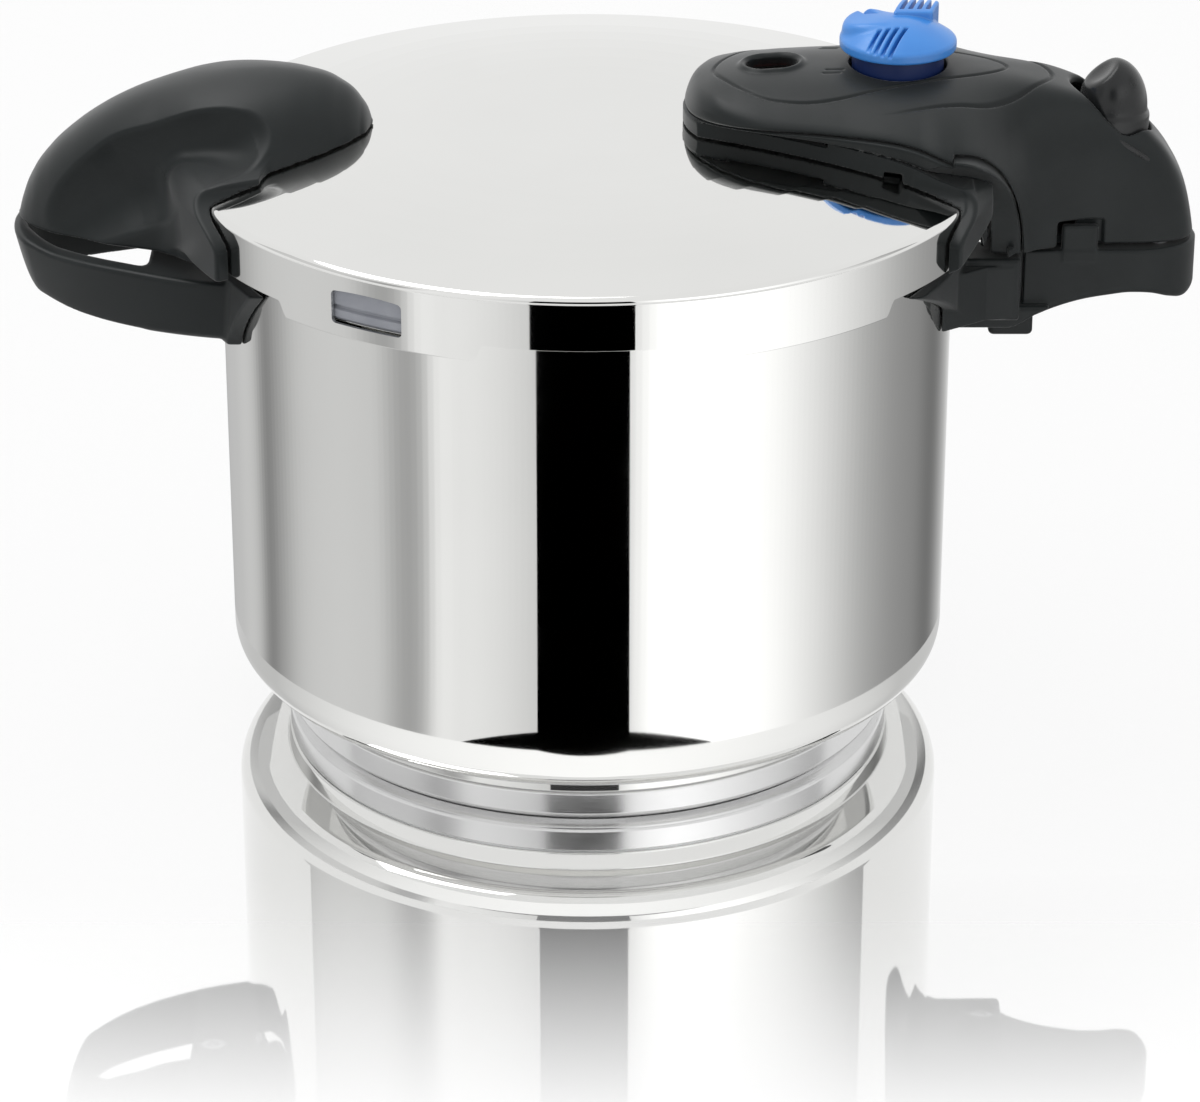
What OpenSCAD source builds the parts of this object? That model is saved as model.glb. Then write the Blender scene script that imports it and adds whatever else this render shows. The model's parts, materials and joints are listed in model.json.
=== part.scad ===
// Six-litre stove-top pressure cooker with a bayonet lid, built as its separate pieces.
// Frame: +Z up, origin at the centre of the base on the surface that it stands on.
// +X points along the main handle, which carries the valves and the lock.

/* [Vessel] */
// Outer radius of the pot's wall
pot_r = 111; // [105:0.5:115]
// Thickness of the pot's sheet
pot_t = 0.9; // [0.7:0.1:1.2]
// Height of the top of the pot's flange
flange_z = 164.4; // [160:0.2:168]
// Radius of the base capsule
base_r = 94.5; // [90:0.5:96]
// Height of the base capsule
base_h = 10.4; // [7:0.2:11]

/* [Lid] */
// Outer radius of the lid's skirt
lid_r = 122.3; // [121:0.1:124]
// Thickness of the lid's sheet
lid_t = 1; // [0.8:0.1:1.2]
// Height of the skirt's top, where the shoulder begins
lid_z = 178.5; // [177:0.1:180]
// Rise of the dome from the shoulder to the middle
dome_h = 8; // [5:0.5:10]

/* [Bayonet] */
// Number of lugs on the pot and of tabs on the lid
lugs = 6; // [6]
// Width of one lug, in degrees
lug_w = 27; // [22:1:28]
// Width of one long stretch of the lid's skirt, in degrees
skirt_w = 31; // [30:1:34]

/* [Handles] */
// Height of the joint between the upper and lower handles
part_z = 151.8; // [150:0.2:153]
// Half the width of the main grip
grip_w = 16; // [15:0.5:18]
// Half the width of the block at the grip's root
block_w = 23.5; // [22:0.5:28]
// Reach of the main handle from the pot's axis
main_end = 185; // [180:1:190]
// Reach of the helper handle from the pot's axis
helper_end = 174.5; // [170:0.5:178]

/* [Valves] */
// Distance of the operating valve from the pot's axis
valve_x = 93; // [92:0.5:94]
// Distance of the safety valve from the pot's axis
safety_x = 73; // [72:0.5:74]
// Distance of the pressure indicator from the pot's axis
pin_x = 55; // [54:0.5:56]
// Radius of the selector's disc
knob_r = 17.4; // [16:0.2:18]
// Rise of the pressure indicator
pin_travel = 6; // [4:0.5:6]

/* [Lock] */
// Distance of the lock button's middle from the pot's axis
button_x = 157.5; // [156:0.5:159]
// Travel of the lock button
lock_travel = 4; // [3:0.5:4.5]

/* [Hidden] */
$fn = 96;

steel = "gainsboro";
bright = "silver";
phenolic = [0.12, 0.13, 0.13];
silicone = [0.55, 0.56, 0.58];
selector_blue = [0.22, 0.48, 0.86];

gap = 0.5;                              // clearance between the lid and the pieces round it
run = 0.05;                             // radial clearance of a running fit
tray_t = 5;                             // thickness of the tray over the lid
lip_t = 3.3;                            // height of the handle shell's lip over the tray
shoulder_r = 2.3;                       // radius of the lid's shoulder
dome_r = lid_r - shoulder_r;            // where the dome meets the shoulder
flange_t = 1.8;                         // thickness of the pot's flange
lug_r = 119;                            // reach of the pot's lugs
neck_r = 113.2;                         // reach of the flange between the lugs
tab_r = 114.6;                          // inner reach of the lid's tabs
skirt_low = 160.6;                      // bottom of the skirt's long stretches
skirt_high = 165.2;                     // bottom of the skirt between them
step_r = 95;                            // radius of the step pressed in the pot's bottom
corner_r = 21;                          // radius of the pot's bottom corner
corner_z = 36;                          // height of that corner's centre
floor_z = base_h + pot_t;               // the pot's inner floor
base_round = 2.8;                       // radius of the capsule's lower edge
slit = 0.6;                             // half the gap between the upper and lower handles
upper_z = part_z + slit;                // underside of the upper handles
lower_z = part_z - slit;                // top of the lower handles
wing_a = 31;                            // half the angle that a handle's wing covers
cover_z = 156.5;                        // underside of the helper cover
curve_x = 108;                          // where the shell's edge starts to sweep down
sweep_w = 23;                           // length of that sweep
sweep_h = 38;                           // height of that sweep
tongue_t = 2.4;                         // thickness of the lock's tongue
tongue_w = 8;                           // width of the lock's tongue
tongue_z = 146.5;                       // lower end of the lock's tongue

// Height of the lid's outer surface at radius r
function lid_top(r) =
    lid_z + shoulder_r + dome_h * (1 - pow(min(r, dome_r) / dome_r, 2));

// Smooth curve through a table of [x, value] rows
function row_at(t, x, i = 0) =
    i >= len(t) - 2 || x < t[i + 1][0] ? i : row_at(t, x, i + 1);
function slope_at(t, i) =
    i <= 0 ? (t[1][1] - t[0][1]) / (t[1][0] - t[0][0])
    : i >= len(t) - 1 ? (t[i][1] - t[i - 1][1]) / (t[i][0] - t[i - 1][0])
    : (t[i + 1][1] - t[i - 1][1]) / (t[i + 1][0] - t[i - 1][0]);
function smooth(t, x) =
    let (
        i = row_at(t, x),
        w = t[i + 1][0] - t[i][0],
        s = (x - t[i][0]) / w,
        a = slope_at(t, i) * w,
        b = slope_at(t, i + 1) * w
    )
    t[i][1] * (2 * s * s * s - 3 * s * s + 1)
    + a * (s * s * s - 2 * s * s + s)
    + t[i + 1][1] * (3 * s * s - 2 * s * s * s)
    + b * (s * s * s - s * s);
function blend(a, b, s) = a * (1 - s) + b * s;
function ease(s) = let (c = min(1, max(0, s))) c * c * (3 - 2 * c);

// A solid skinned over rings of points, with flat ends
module skin(rings) {
    n = len(rings[0]);
    last = len(rings) - 1;
    polyhedron(
        points = [for (r = rings) each r],
        faces = [
            [for (i = [n - 1 : -1 : 0]) i],
            [for (i = [0 : n - 1]) last * n + i],
            for (k = [0 : last - 1], i = [0 : n - 1])
                let (j = (i + 1) % n)
                each [
                    [k * n + i, (k + 1) * n + j, (k + 1) * n + i],
                    [k * n + i, k * n + j, (k + 1) * n + j]
                ]
        ]
    );
}

// A mirrored cross-section at x: half is a list of [y, z] from the bottom up to the crown
function section(x, half, low) = concat(
    [[x, -half[0][0], low]],
    [for (p = half) [x, -p[0], p[1]]],
    [for (i = [len(half) - 2 : -1 : 0]) [x, half[i][0], half[i][1]]],
    [[x, half[0][0], low]]
);

// A tube or disc of radius r from z0 to z1, at distance x along the main handle
module post(x, r, z0, z1) {
    translate([x, 0, z0]) cylinder(r = r, h = z1 - z0);
}

// A hexagonal nut round a bore
module nut(x, r, bore, z0, z1) {
    difference() {
        translate([x, 0, z0]) cylinder(r = r, h = z1 - z0, $fn = 6);
        post(x, bore, z0 - 1, z1 + 1);
    }
}

// A pan-head screw that points up, with a hexagonal socket in its head
module screw(x, y, z0, z1, r, head_r, head_h) {
    translate([x, y, z0]) difference() {
        union() {
            cylinder(r = head_r, h = head_h);
            cylinder(r = r, h = z1 - z0);
        }
        translate([0, 0, -1]) cylinder(r = head_r * 0.5, h = head_h * 0.6 + 1, $fn = 6);
    }
}

// A closed coil spring's envelope as a stack of rings joined by a helix
module spring(x, r, wire, z0, z1, turns) {
    steps = 14;
    total = turns * steps;
    pitch = (z1 - z0 - wire) / turns;
    ring = [for (k = [0 : 7]) [cos(k * 45), sin(k * 45)] * wire / 2];
    skin([for (i = [0 : total])
        let (a = i * 360 / steps, z = z0 + wire / 2 + i * pitch / steps)
        [for (p = ring) [x + (r + p[0]) * cos(a), (r + p[0]) * sin(a), z + p[1]]]
    ]);
}

// A sector of a full disc, for cutting revolved pieces
module wedge(angle, half, reach, z0, z1) {
    translate([0, 0, z0]) linear_extrude(z1 - z0)
        polygon([
            [0, 0],
            for (s = [-1, -0.5, 0, 0.5, 1])
                reach * [cos(angle + s * half), sin(angle + s * half)]
        ]);
}

// The lid's outer form, grown by off, down to z0
module lid_form(off, z0) {
    rotate_extrude($fn = 180) polygon([
        [0, z0],
        [lid_r + off, z0],
        for (a = [0 : 22.5 : 90])
            [dome_r + (shoulder_r + off) * cos(a), lid_z + (shoulder_r + off) * sin(a)],
        for (k = [7 : -1 : 0])
            let (r = dome_r * k / 8)
            [r, lid_top(r) + off]
    ]);
}

// ---------------------------------------------------------------- pot

module pot_body() {
    inner_r = pot_r - pot_t;
    arc = 75;
    color(steel) {
        rotate_extrude($fn = 180) polygon([
            [0, base_h],
            [step_r, base_h],
            for (k = [1 : 10])
                let (a = -arc + (k - 1) * arc / 9)
                [pot_r - corner_r + corner_r * cos(a), corner_z + corner_r * sin(a)],
            [pot_r, flange_z - flange_t],
            [neck_r, flange_z - flange_t],
            [neck_r, flange_z],
            [inner_r, flange_z],
            for (k = [10 : -1 : 1])
                let (a = -arc + (k - 1) * arc / 9, q = corner_r - pot_t)
                [pot_r - corner_r + q * cos(a), corner_z + q * sin(a)],
            [step_r - pot_t, floor_z],
            [0, floor_z]
        ]);
        for (k = [0 : lugs - 1])
            intersection() {
                difference() {
                    post(0, lug_r, flange_z - flange_t, flange_z);
                    post(0, neck_r - 0.4, flange_z - flange_t - 1, flange_z + 1);
                }
                wedge(k * 360 / lugs, lug_w / 2, 150, flange_z - 3, flange_z + 1);
            }
    }
}

// Outline of the base's lower corner, set in from the capsule's outer surface by inset
function base_corner(inset) = [for (a = [-90 : 15 : 0])
    base_round * [-1, 1] + [base_r, 0] + (base_round - inset) * [cos(a), sin(a)]
];

module base_core() {
    skin_gap = 0.85;
    color("lightgray") rotate_extrude($fn = 180) polygon([
        [0, skin_gap],
        each base_corner(skin_gap),
        [base_r - skin_gap, base_h],
        [0, base_h]
    ]);
}

module base_capsule() {
    skin_t = 0.8;
    color(bright) rotate_extrude($fn = 180) polygon([
        [0, 0],
        each base_corner(0),
        [base_r, base_h - 0.8],
        [base_r - 0.4, base_h - 0.2],
        [base_r - skin_t, base_h - 0.2],
        for (k = [6 : -1 : 0]) base_corner(skin_t)[k],
        [0, skin_t]
    ]);
}

// The plate and tongue that carry a lower handle, on the side that side says
module bracket(side, reach, z0, z1, tongue_z0, screw_x) {
    plate_t = 1.2;
    tongue_h = 3;
    intersection() {
        difference() {
            post(0, pot_r + plate_t, z0, z1);
            post(0, pot_r, z0 - 1, z1 + 1);
        }
        wedge(side > 0 ? 0 : 180, 11, 150, z0, z1);
    }
    difference() {
        translate([side > 0 ? pot_r + 0.6 : -reach, -10, tongue_z0])
            cube([reach - pot_r - 0.6, 20, tongue_h]);
        translate([side * screw_x, 0, tongue_z0 - 1]) cylinder(r = 2.7, h = tongue_h + 2);
    }
}

main_screw_x = 129.6;
helper_screw_x = 124;
module pot_main_bracket() { color(bright) bracket(1, 138, 133, 150, 139, main_screw_x); }
module pot_helper_bracket() { color(bright) bracket(-1, 129, 137, 151, 142.6, helper_screw_x); }

// The clearance that a lower handle leaves for its bracket
module bracket_room(side, reach, z0, z1, tongue_z0) {
    intersection() {
        post(0, pot_r + 1.5, z0 - 0.4, z1 + 0.4);
        wedge(side > 0 ? 0 : 180, 11.5, 150, z0 - 0.4, z1 + 0.4);
    }
    translate([side > 0 ? pot_r - 2 : -reach - 0.4, -10.3, tongue_z0 - 0.2])
        cube([reach + 2.4 - pot_r, 20.6, 3.4]);
}

// The band that a lower handle lays on the pot's wall, wide at its top and narrow at its bottom
module pot_wing(side, z0, z1, top_w, low_w) {
    intersection() {
        difference() {
            post(0, pot_r + 4.3, z0, z1);
            post(0, pot_r + 0.3, z0 - 1, z1 + 1);
        }
        rotate([90, 0, 90]) translate([0, 0, side > 0 ? 0 : -150]) linear_extrude(150)
            polygon([[-low_w, z0], [low_w, z0], [top_w, z1], [-top_w, z1]]);
    }
}

// The grip's plan, with a rounded end
module grip_plan(half, from, end) {
    round_r = 20;
    polygon([
        [from, -half],
        for (a = [-90 : 15 : 90])
            [end - round_r + round_r * cos(a), half * sin(a)],
        [from, half]
    ]);
}

key_x0 = 142.8;
key_x1 = 153.9;
module pot_main_handle() {
    root_x = pot_r - 2;
    block_x = 130;
    wall = 2.8;
    color(phenolic) difference() {
        union() {
            pot_wing(1, 131, 156, 62, 28);
            // block at the root
            translate([root_x, -block_w, 134.5])
                cube([block_x - root_x, 2 * block_w, lower_z - 134.5]);
            // web and screw boss under it
            translate([root_x, -14, 126]) cube([136 - root_x, 28, 10]);
            post(main_screw_x, 5.5, 123.5, 130);
            // grip, with finger waves below
            intersection() {
                translate([0, 0, 120]) linear_extrude(40) grip_plan(grip_w, block_x - 6, main_end);
                rotate([90, 0, 0]) translate([0, 0, -30]) linear_extrude(60) polygon([
                    [block_x - 6, lower_z],
                    for (k = [0 : 14])
                        let (x = block_x - 6 + k * (main_end - block_x + 6) / 14)
                        [x, smooth([
                            [124, 132.5], [134, 134.4], [145, 138], [161, 143], [168, 142],
                            [176, 137.8], [180, 135.6], [183, 135.4], [186, 139]
                        ], x)],
                    [main_end + 1, lower_z]
                ]);
            }
            // stop key that fills the notch in the upper handle
            translate([key_x0, -grip_w, lower_z - 2]) cube([key_x1 - key_x0, wall, 9.4]);
        }
        post(0, pot_r + 0.3, 100, 170);
        bracket_room(1, 138, 133, 150, 139);
        // screw hole and the head's counterbore
        post(main_screw_x, 2.7, 120, 149);
        post(main_screw_x, 4.6, 122, 127);
        // groove that the lock's tongue leaves by, and the pocket that it locks in
        intersection() {
            difference() {
                post(0, button_x + tongue_t / 2 + 0.5, tongue_z - 0.6, 170);
                post(0, button_x - tongue_t / 2 - 0.5, tongue_z - 2, 171);
            }
            wedge(4, 5.9, 200, tongue_z - 0.6, 170);
        }
        translate([
            button_x - lock_travel - tongue_t / 2 - 0.5, -tongue_w / 2 - 0.6, tongue_z - 0.6
        ]) cube([lock_travel + tongue_t, tongue_w + 1.2, 20]);
    }
}

module pot_main_screw() { color(bright) screw(main_screw_x, 0, 124, 144.5, 2.5, 4.4, 2.8); }
module pot_helper_screw() { color(bright) screw(-helper_screw_x, 0, 135.5, 148, 2.5, 4.4, 2.8); }

// Plan of the helper handle: a superellipse that comes to a blunt point
module helper_plan(end, half, power, start = 100) {
    n = 24;
    a = end - start;
    polygon([
        for (k = [0 : n])
            let (t = -90 + k * 180 / n, c = cos(t), s = sin(t))
            [-start - a * pow(abs(c), 2 / power), half * sign(s) * pow(abs(s), 2 / power)]
    ]);
}

module pot_helper_handle() {
    low = 134.5;
    top = 153;
    color(phenolic) difference() {
        union() {
            pot_wing(-1, low, 155, 59, 42);
            translate([0, 0, low]) linear_extrude(top - low)
                helper_plan(helper_end, 46, 1.6);
        }
        post(0, pot_r + 0.3, 100, 170);
        // finger opening
        translate([0, 0, low - 1]) linear_extrude(top - low + 2) intersection() {
            helper_plan(helper_end - 13, 33, 1.7, 96);
            translate([-170, -40]) square([36, 80]);
        }
        bracket_room(-1, 129, 137, 151, 142.6);
        post(-helper_screw_x, 2.7, 130, 151);
        post(-helper_screw_x, 4.6, 130, 138.5);
    }
}

// ---------------------------------------------------------------- gasket

module sealing_ring() {
    top = lid_z + 0.8;
    out = lid_r - lid_t - 0.4;
    color(silicone) rotate_extrude($fn = 180) polygon([
        [109.5, flange_z + 0.2],
        [out - 1, flange_z + 0.2],
        [out, flange_z + 1.2],
        [out, top - 1.5],
        [out - 1.5, top],
        [110.5, top],
        [110.5, top - 2.2],
        [out - 3, top - 2.2],
        [out - 3, flange_z + 2.2],
        [109.5, flange_z + 1.8]
    ]);
}

// ---------------------------------------------------------------- lid

// The window in the skirt, through which the gasket vents too high a pressure
window_a = -120.7;
module lid_window() {
    rotate([0, 0, window_a]) translate([lid_r, 0, 169.4]) rotate([0, 90, 0])
        linear_extrude(12, center = true) {
            square([9.8, 21.2], center = true);
            square([7.4, 23.6], center = true);
            for (u = [-1, 1], v = [-1, 1]) translate([u * 3.7, v * 10.6]) circle(r = 1.2);
        }
}

module lid_shell() {
    inner = lid_r - lid_t;
    color(steel) difference() {
        union() {
            difference() {
                lid_form(0, skirt_low);
                rotate_extrude($fn = 180) polygon([
                    [0, skirt_low - 1],
                    [inner, skirt_low - 1],
                    for (a = [0 : 22.5 : 90])
                        [dome_r + (shoulder_r - lid_t) * cos(a), lid_z + (shoulder_r - lid_t) * sin(a)],
                    for (k = [7 : -1 : 0])
                        let (r = dome_r * k / 8)
                        [r, lid_top(r) - lid_t]
                ]);
                // the skirt is short between its long stretches
                for (k = [0 : lugs - 1])
                    wedge((k + 0.5) * 360 / lugs, (360 / lugs - skirt_w) / 2, 200, skirt_low - 1, skirt_high);
            }
            // tabs that turn in under the pot's lugs
            for (k = [0 : lugs - 1])
                intersection() {
                    difference() {
                        post(0, inner + 0.3, skirt_low, skirt_low + 1.2);
                        post(0, tab_r, skirt_low - 1, skirt_low + 3);
                    }
                    wedge(k * 360 / lugs, lug_w / 2, 150, skirt_low - 1, skirt_low + 3);
                }
        }
        post(valve_x, 7.3, 170, 200);
        post(safety_x, 5.3, 170, 200);
        post(pin_x, 4.8, 170, 200);
        lid_window();
    }
}

// A tongue welded to the lid's skirt, under a cover, with a hole for the cover's screw
module lid_bracket(side, reach, z0, screw_x) {
    intersection() {
        difference() {
            post(0, lid_r + 1.2, 167, 177);
            post(0, lid_r, 166, 178);
        }
        wedge(side > 0 ? 0 : 180, 4.2, 150, 167, 177);
    }
    difference() {
        translate([side > 0 ? lid_r + 0.6 : -reach, -8, z0]) cube([reach - lid_r - 0.6, 16, 2]);
        translate([side * screw_x, 0, z0 - 1]) cylinder(r = 2.2, h = 4);
    }
}

lid_screw_x = 142;
cover_screw_x = 138;
module lid_main_bracket() { color(bright) lid_bracket(1, 148, 170, lid_screw_x); }
module lid_helper_bracket() { color(bright) lid_bracket(-1, 144, 170, cover_screw_x); }

// Plan of the main handle's fan over the lid, out to the wings that hold the rim
module fan_plan(inset = 0) {
    tip = 28.6;
    half = 36;
    mid = 66;
    polygon([
        for (s = [-1, 1])
            each [for (k = [0 : 12])
                let (
                    a = s < 0 ? k * 7.5 : 90 - k * 7.5,
                    x = mid - (mid - tip - inset) * cos(a),
                    y = (half - inset) * sin(a)
                )
                if (s < 0) [x, -y]],
        [103, inset - 48.5],
        [107, inset - 52.5],
        [109, inset - 58],
        [109, inset - 66],
        [140, inset - 66],
        [140, 66 - inset],
        [109, 66 - inset],
        [109, 58 - inset],
        [107, 52.5 - inset],
        [103, 48.5 - inset],
        for (k = [12 : -1 : 1])
            let (a = k * 7.5)
            [mid - (mid - tip - inset) * cos(a), (half - inset) * sin(a)]
    ]);
}

// Everything under the line where the shell's edge sweeps down, less cut
module under_sweep(cut) {
    rotate([90, 0, 0]) translate([0, 0, -70]) linear_extrude(140) polygon([
        [60, 140],
        [curve_x + sweep_w - cut, 140],
        for (a = [0 : 11.25 : 90])
            [curve_x + (sweep_w - cut) * cos(a), upper_z + (sweep_h - cut) * sin(a)],
        [60, upper_z + sweep_h - cut]
    ]);
}

rail_top = 179.8;                       // top of the rails that the lock bar slides on
shell_screw_x = 173;                    // where the shell's screws stand
shell_screw_y = 7;
valve_seat = 191.5;                     // heights of the nuts' seats on the tray
safety_seat = 192.4;
pin_seat = 193.6;
module lid_handle_tray() {
    floor_t = 2.6;
    color(phenolic) difference() {
        union() {
            // plate on the lid, and wings round its rim
            intersection() {
                lid_form(gap + tray_t, 166);
                translate([0, 0, 160]) linear_extrude(60) fan_plan();
                union() {
                    wedge(0, wing_a, 300, 160, 220);
                    translate([20, -60, 176]) cube([80, 120, 40]);
                }
            }
            // block outside the rim
            intersection() {
                translate([0, 0, upper_z]) linear_extrude(45) polygon([
                    [112, -block_w - 10], [119, -block_w - 2], [129.6, -block_w],
                    [129.6, block_w], [119, block_w + 2], [112, block_w + 10]
                ]);
                under_sweep(1.2);
            }
            // floor of the grip, and the rails that the lock bar slides on
            translate([0, 0, upper_z]) linear_extrude(floor_t)
                grip_plan(grip_w - 3.2, 126, main_end - 6.6);
            for (s = [-1, 1])
                translate([131, s * 10.5 - 1.5, upper_z]) cube([11, 3, rail_top - upper_z]);
            // flat seats for the nuts, and the screw's pillar
            post(valve_x, 12.5, 187, valve_seat);
            post(safety_x, 9, 187, safety_seat);
            post(pin_x, 8, 188, pin_seat);
            post(lid_screw_x, 5, upper_z, 169.8);
        }
        lid_form(gap, 140);
        // hollow of the block
        translate([118, -20, upper_z + 3]) cube([9.6, 40, 11]);
        translate([120, -8.4, 169.8]) cube([28.4, 16.8, 2.4]);
        post(0, lid_r + 1.6, 160, 178);
        post(valve_x, 7.3, 170, 200);
        post(safety_x, 5.3, 170, 200);
        post(pin_x, 4.8, 170, 200);
        post(lid_screw_x, 2.2, 150, 172);
        post(lid_screw_x, 4.2, 150, upper_z + 3);
        for (s = [-1, 1])
            translate([shell_screw_x, s * shell_screw_y, upper_z - 1]) {
                cylinder(r = 1.8, h = 9);
                cylinder(r = 3.1, h = 2);
            }
        translate([button_x - lock_travel - 2, -tongue_w / 2 - 0.7, 150])
            cube([lock_travel + 4, tongue_w + 1.4, 8]);
        // steam outlet under the tray's near edge
        translate([88, -60, 180]) cube([5, 60, 4.6]);
    }
}

// Crown of the handle shell
crown = [
    [28.8, 192], [31, 197.5], [34, 201], [40, 204.2], [50, 206.5], [70, 207.6], [100, 207.6],
    [124, 205.5], [139, 201.5], [150, 197.5], [160, 193], [168, 188.8], [173, 184.5],
    [177, 178.5], [181, 169], [183.5, 161], [184.9, 154]
];
// Half the width of the handle shell
function shell_half(x) =
    x < 66 ? 36 * sqrt(1 - pow((66 - x) / 37.4, 2))
    : x < 165 ? smooth([
        [66, 36], [80, 40], [92, 43.5], [103, 47.5], [110, 46.5], [117, 38], [124, 26.5],
        [130, 19.5], [136, 16.6], [145, 16], [165, 16]
    ], x)
    : 16 * sqrt(1 - pow((x - 165) / 20, 2));
// Fractions of the half width and of the height, from the edge to the crown
over_lid = [[1, 0], [0.93, 0.04], [0.82, 0.22], [0.7, 0.5], [0.5, 0.76], [0.25, 0.94], [0, 1]];
over_grip = [[1, 0], [0.995, 0.2], [0.97, 0.48], [0.86, 0.74], [0.62, 0.92], [0.3, 0.99], [0, 1]];
function shell_ring(x, inset) =
    let (
        s = ease((x - 104) / 30),
        w = max(0.6, shell_half(x) - inset),
        top = smooth(crown, x) - inset,
        r = norm([x, w]),
        edge = blend(lid_top(r) + gap + tray_t + lip_t, min(172, top - 4), s),
        low = upper_z - (inset > 0 ? 2 : 0),
        foot = min(max(edge, low + 1), top - 1)
    )
    section(x, [for (k = [0 : 6])
        let (f = blend(over_lid[k], over_grip[k], s))
        [w * f[0], foot + (top - foot) * f[1]]
    ], low);

shell_x = [
    28.9, 29.8, 31.5, 34.5, 39, 46, 56, 68, 82, 95, 105, 111, 117, 123, 129, 136, 146, 158, 167, 174,
    179, 182, 184, 184.9
];
hollow_x = [33, 37, 43, 54, 70, 95, 108, 116, 124, 134, 150, 164, 174, 180];
module lid_handle_shell() {
    wall = 2.8;
    boss_top = 181;
    color(phenolic) difference() {
        union() {
            difference() {
                skin([for (x = shell_x) shell_ring(x, 0)]);
                skin([for (x = hollow_x) shell_ring(x, wall)]);
            }
            for (s = [-1, 1])
                translate([shell_screw_x, s * shell_screw_y, upper_z + 2.8])
                    cylinder(r = 3.4, h = boss_top - upper_z - 2.8);
        }
        for (s = [-1, 1])
            translate([shell_screw_x, s * shell_screw_y, upper_z]) cylinder(r = 1.55, h = 18);
        lid_form(gap + tray_t + 0.2, 140);
        under_sweep(0);
        // selector's well, indicator's window and the lock button's slot
        post(valve_x, knob_r - 2.8, 195, 220);
        translate([0, 0, 195]) linear_extrude(30) hull()
            for (s = [-1, 1]) translate([pin_x + s * 4, 0]) circle(r = 4.6);
        translate([0, 0, 176]) linear_extrude(40) hull() {
            translate([button_x, 0]) circle(r = 11.2);
            translate([button_x - lock_travel - 0.2, 0]) circle(r = 11.2);
        }
        // notch for the stop key
        translate([key_x0 - 1.2, -30, 140]) cube([key_x1 - key_x0 + 2.4, 30 - grip_w + 3.1, 20.4]);
    }
}

module lid_handle_screw() { color(bright) screw(lid_screw_x, 0, upper_z + 0.2, 174, 2, 3.9, 2.4); }
module lid_shell_screws() {
    color(bright) for (s = [-1, 1])
        screw(shell_screw_x, s * shell_screw_y, upper_z - 0.2, 166, 1.5, 2.9, 1.2);
}

// Crown and half width of the helper cover, by distance from the pot's axis
cover_crown = [
    [64.9, 190], [67, 195], [70, 198.6], [76, 202.3], [84, 204.3], [94, 204.2], [104, 202.2],
    [118, 198.2], [131, 193], [143, 186.4], [153, 179], [160, 172.4], [166, 166], [170, 161.4], [171.5, 159.3]
];
function cover_half(x) =
    x < 112 ? 6.5 * sqrt(x - 64.6)
    : smooth([
        [112, 44.8], [118, 38], [124, 32.5], [131, 30], [140, 28], [150, 24.4],
        [160, 18], [166, 12.8], [170, 7.2], [171.6, 3]
    ], x);
cover_near = [[1, 0], [0.95, 0.05], [0.84, 0.2], [0.66, 0.5], [0.45, 0.78], [0.22, 0.95], [0, 1]];
cover_far = [[1, 0], [0.97, 0.18], [0.82, 0.4], [0.6, 0.56], [0.42, 0.78], [0.22, 0.96], [0, 1]];
function cover_ring(x, inset) =
    let (
        s = ease((x - 84) / 22),
        out = ease((x - 110) / 16),
        w = max(0.5, cover_half(x) - inset),
        top = smooth(cover_crown, x) - inset,
        edge = blend(lid_top(norm([x, w])) + gap + 5, cover_z + 7, out),
        foot = min(edge, top - 1)
    )
    [for (p = section(x, [for (k = [0 : 6])
        let (f = blend(cover_near[k], cover_far[k], s))
        [w * f[0], foot + (top - foot) * f[1]]
    ], cover_z - (inset > 0 ? 2 : 0))) [-p[0], p[1], p[2]]];

cover_x = [
    171.5, 170.4, 168, 163, 156, 147, 138, 130, 123, 117, 111, 103, 94, 85, 77, 71, 67.5, 65.8, 65.1
];
cover_hollow_x = [166, 161, 152, 140, 129, 119, 110, 96, 82, 74, 70];
module lid_helper_cover() {
    wall = 2.8;
    color(phenolic) difference() {
        union() {
            skin([for (x = cover_x) cover_ring(x, 0)]);
            // wings round the rim
            intersection() {
                lid_form(gap + 4.5, 166);
                wedge(180, wing_a, 300, 165, 181);
                translate([-200, -100, 160]) cube([100, 200, 60]);
            }
        }
        difference() {
            skin([for (x = cover_hollow_x) cover_ring(x, wall)]);
            translate([-cover_screw_x, 0, 172.4]) cylinder(r = 5, h = 40);
        }
        lid_form(gap, 140);
        intersection() {
            post(0, lid_r + 1.6, 160, 178);
            wedge(180, 5, 200, 160, 178);
        }
        post(-cover_screw_x, 1.9, 168, 184);
    }
}

module lid_helper_screw() { color(bright) screw(-cover_screw_x, 0, 167.4, 182, 1.9, 3.9, 2.4); }

// ---------------------------------------------------------------- valves on the lid

// A washer pressed up against the lid's inner surface
module washer(x, r, bore, z0) {
    color(silicone) difference() {
        intersection() {
            post(x, r, z0, 200);
            lid_form(-lid_t - 0.05, 150);
        }
        post(x, bore, z0 - 1, 200);
    }
}

valve_low = 179.6;
module valve_washer() { washer(valve_x, 10, 7.3, valve_low); }
module valve_body() {
    color(bright) difference() {
        union() {
            post(valve_x, 9.6, valve_low - 3, valve_low);
            post(valve_x, 7, valve_low - 3, 203);
        }
        post(valve_x, 2.2, 170, 190);
        post(valve_x, 4, 186.5, 204);
    }
}
module valve_nut() { color(bright) nut(valve_x, 10.4, 7.05, valve_seat, valve_seat + 3.8); }

module selector_sleeve() {
    color([0.1, 0.18, 0.36]) difference() {
        union() {
            post(valve_x, 10.5, 196, 204.5);
            post(valve_x, knob_r - 3.4, 204, 212.4);
        }
        post(valve_x, 7 + run, 195, 203.6);
    }
}

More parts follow.
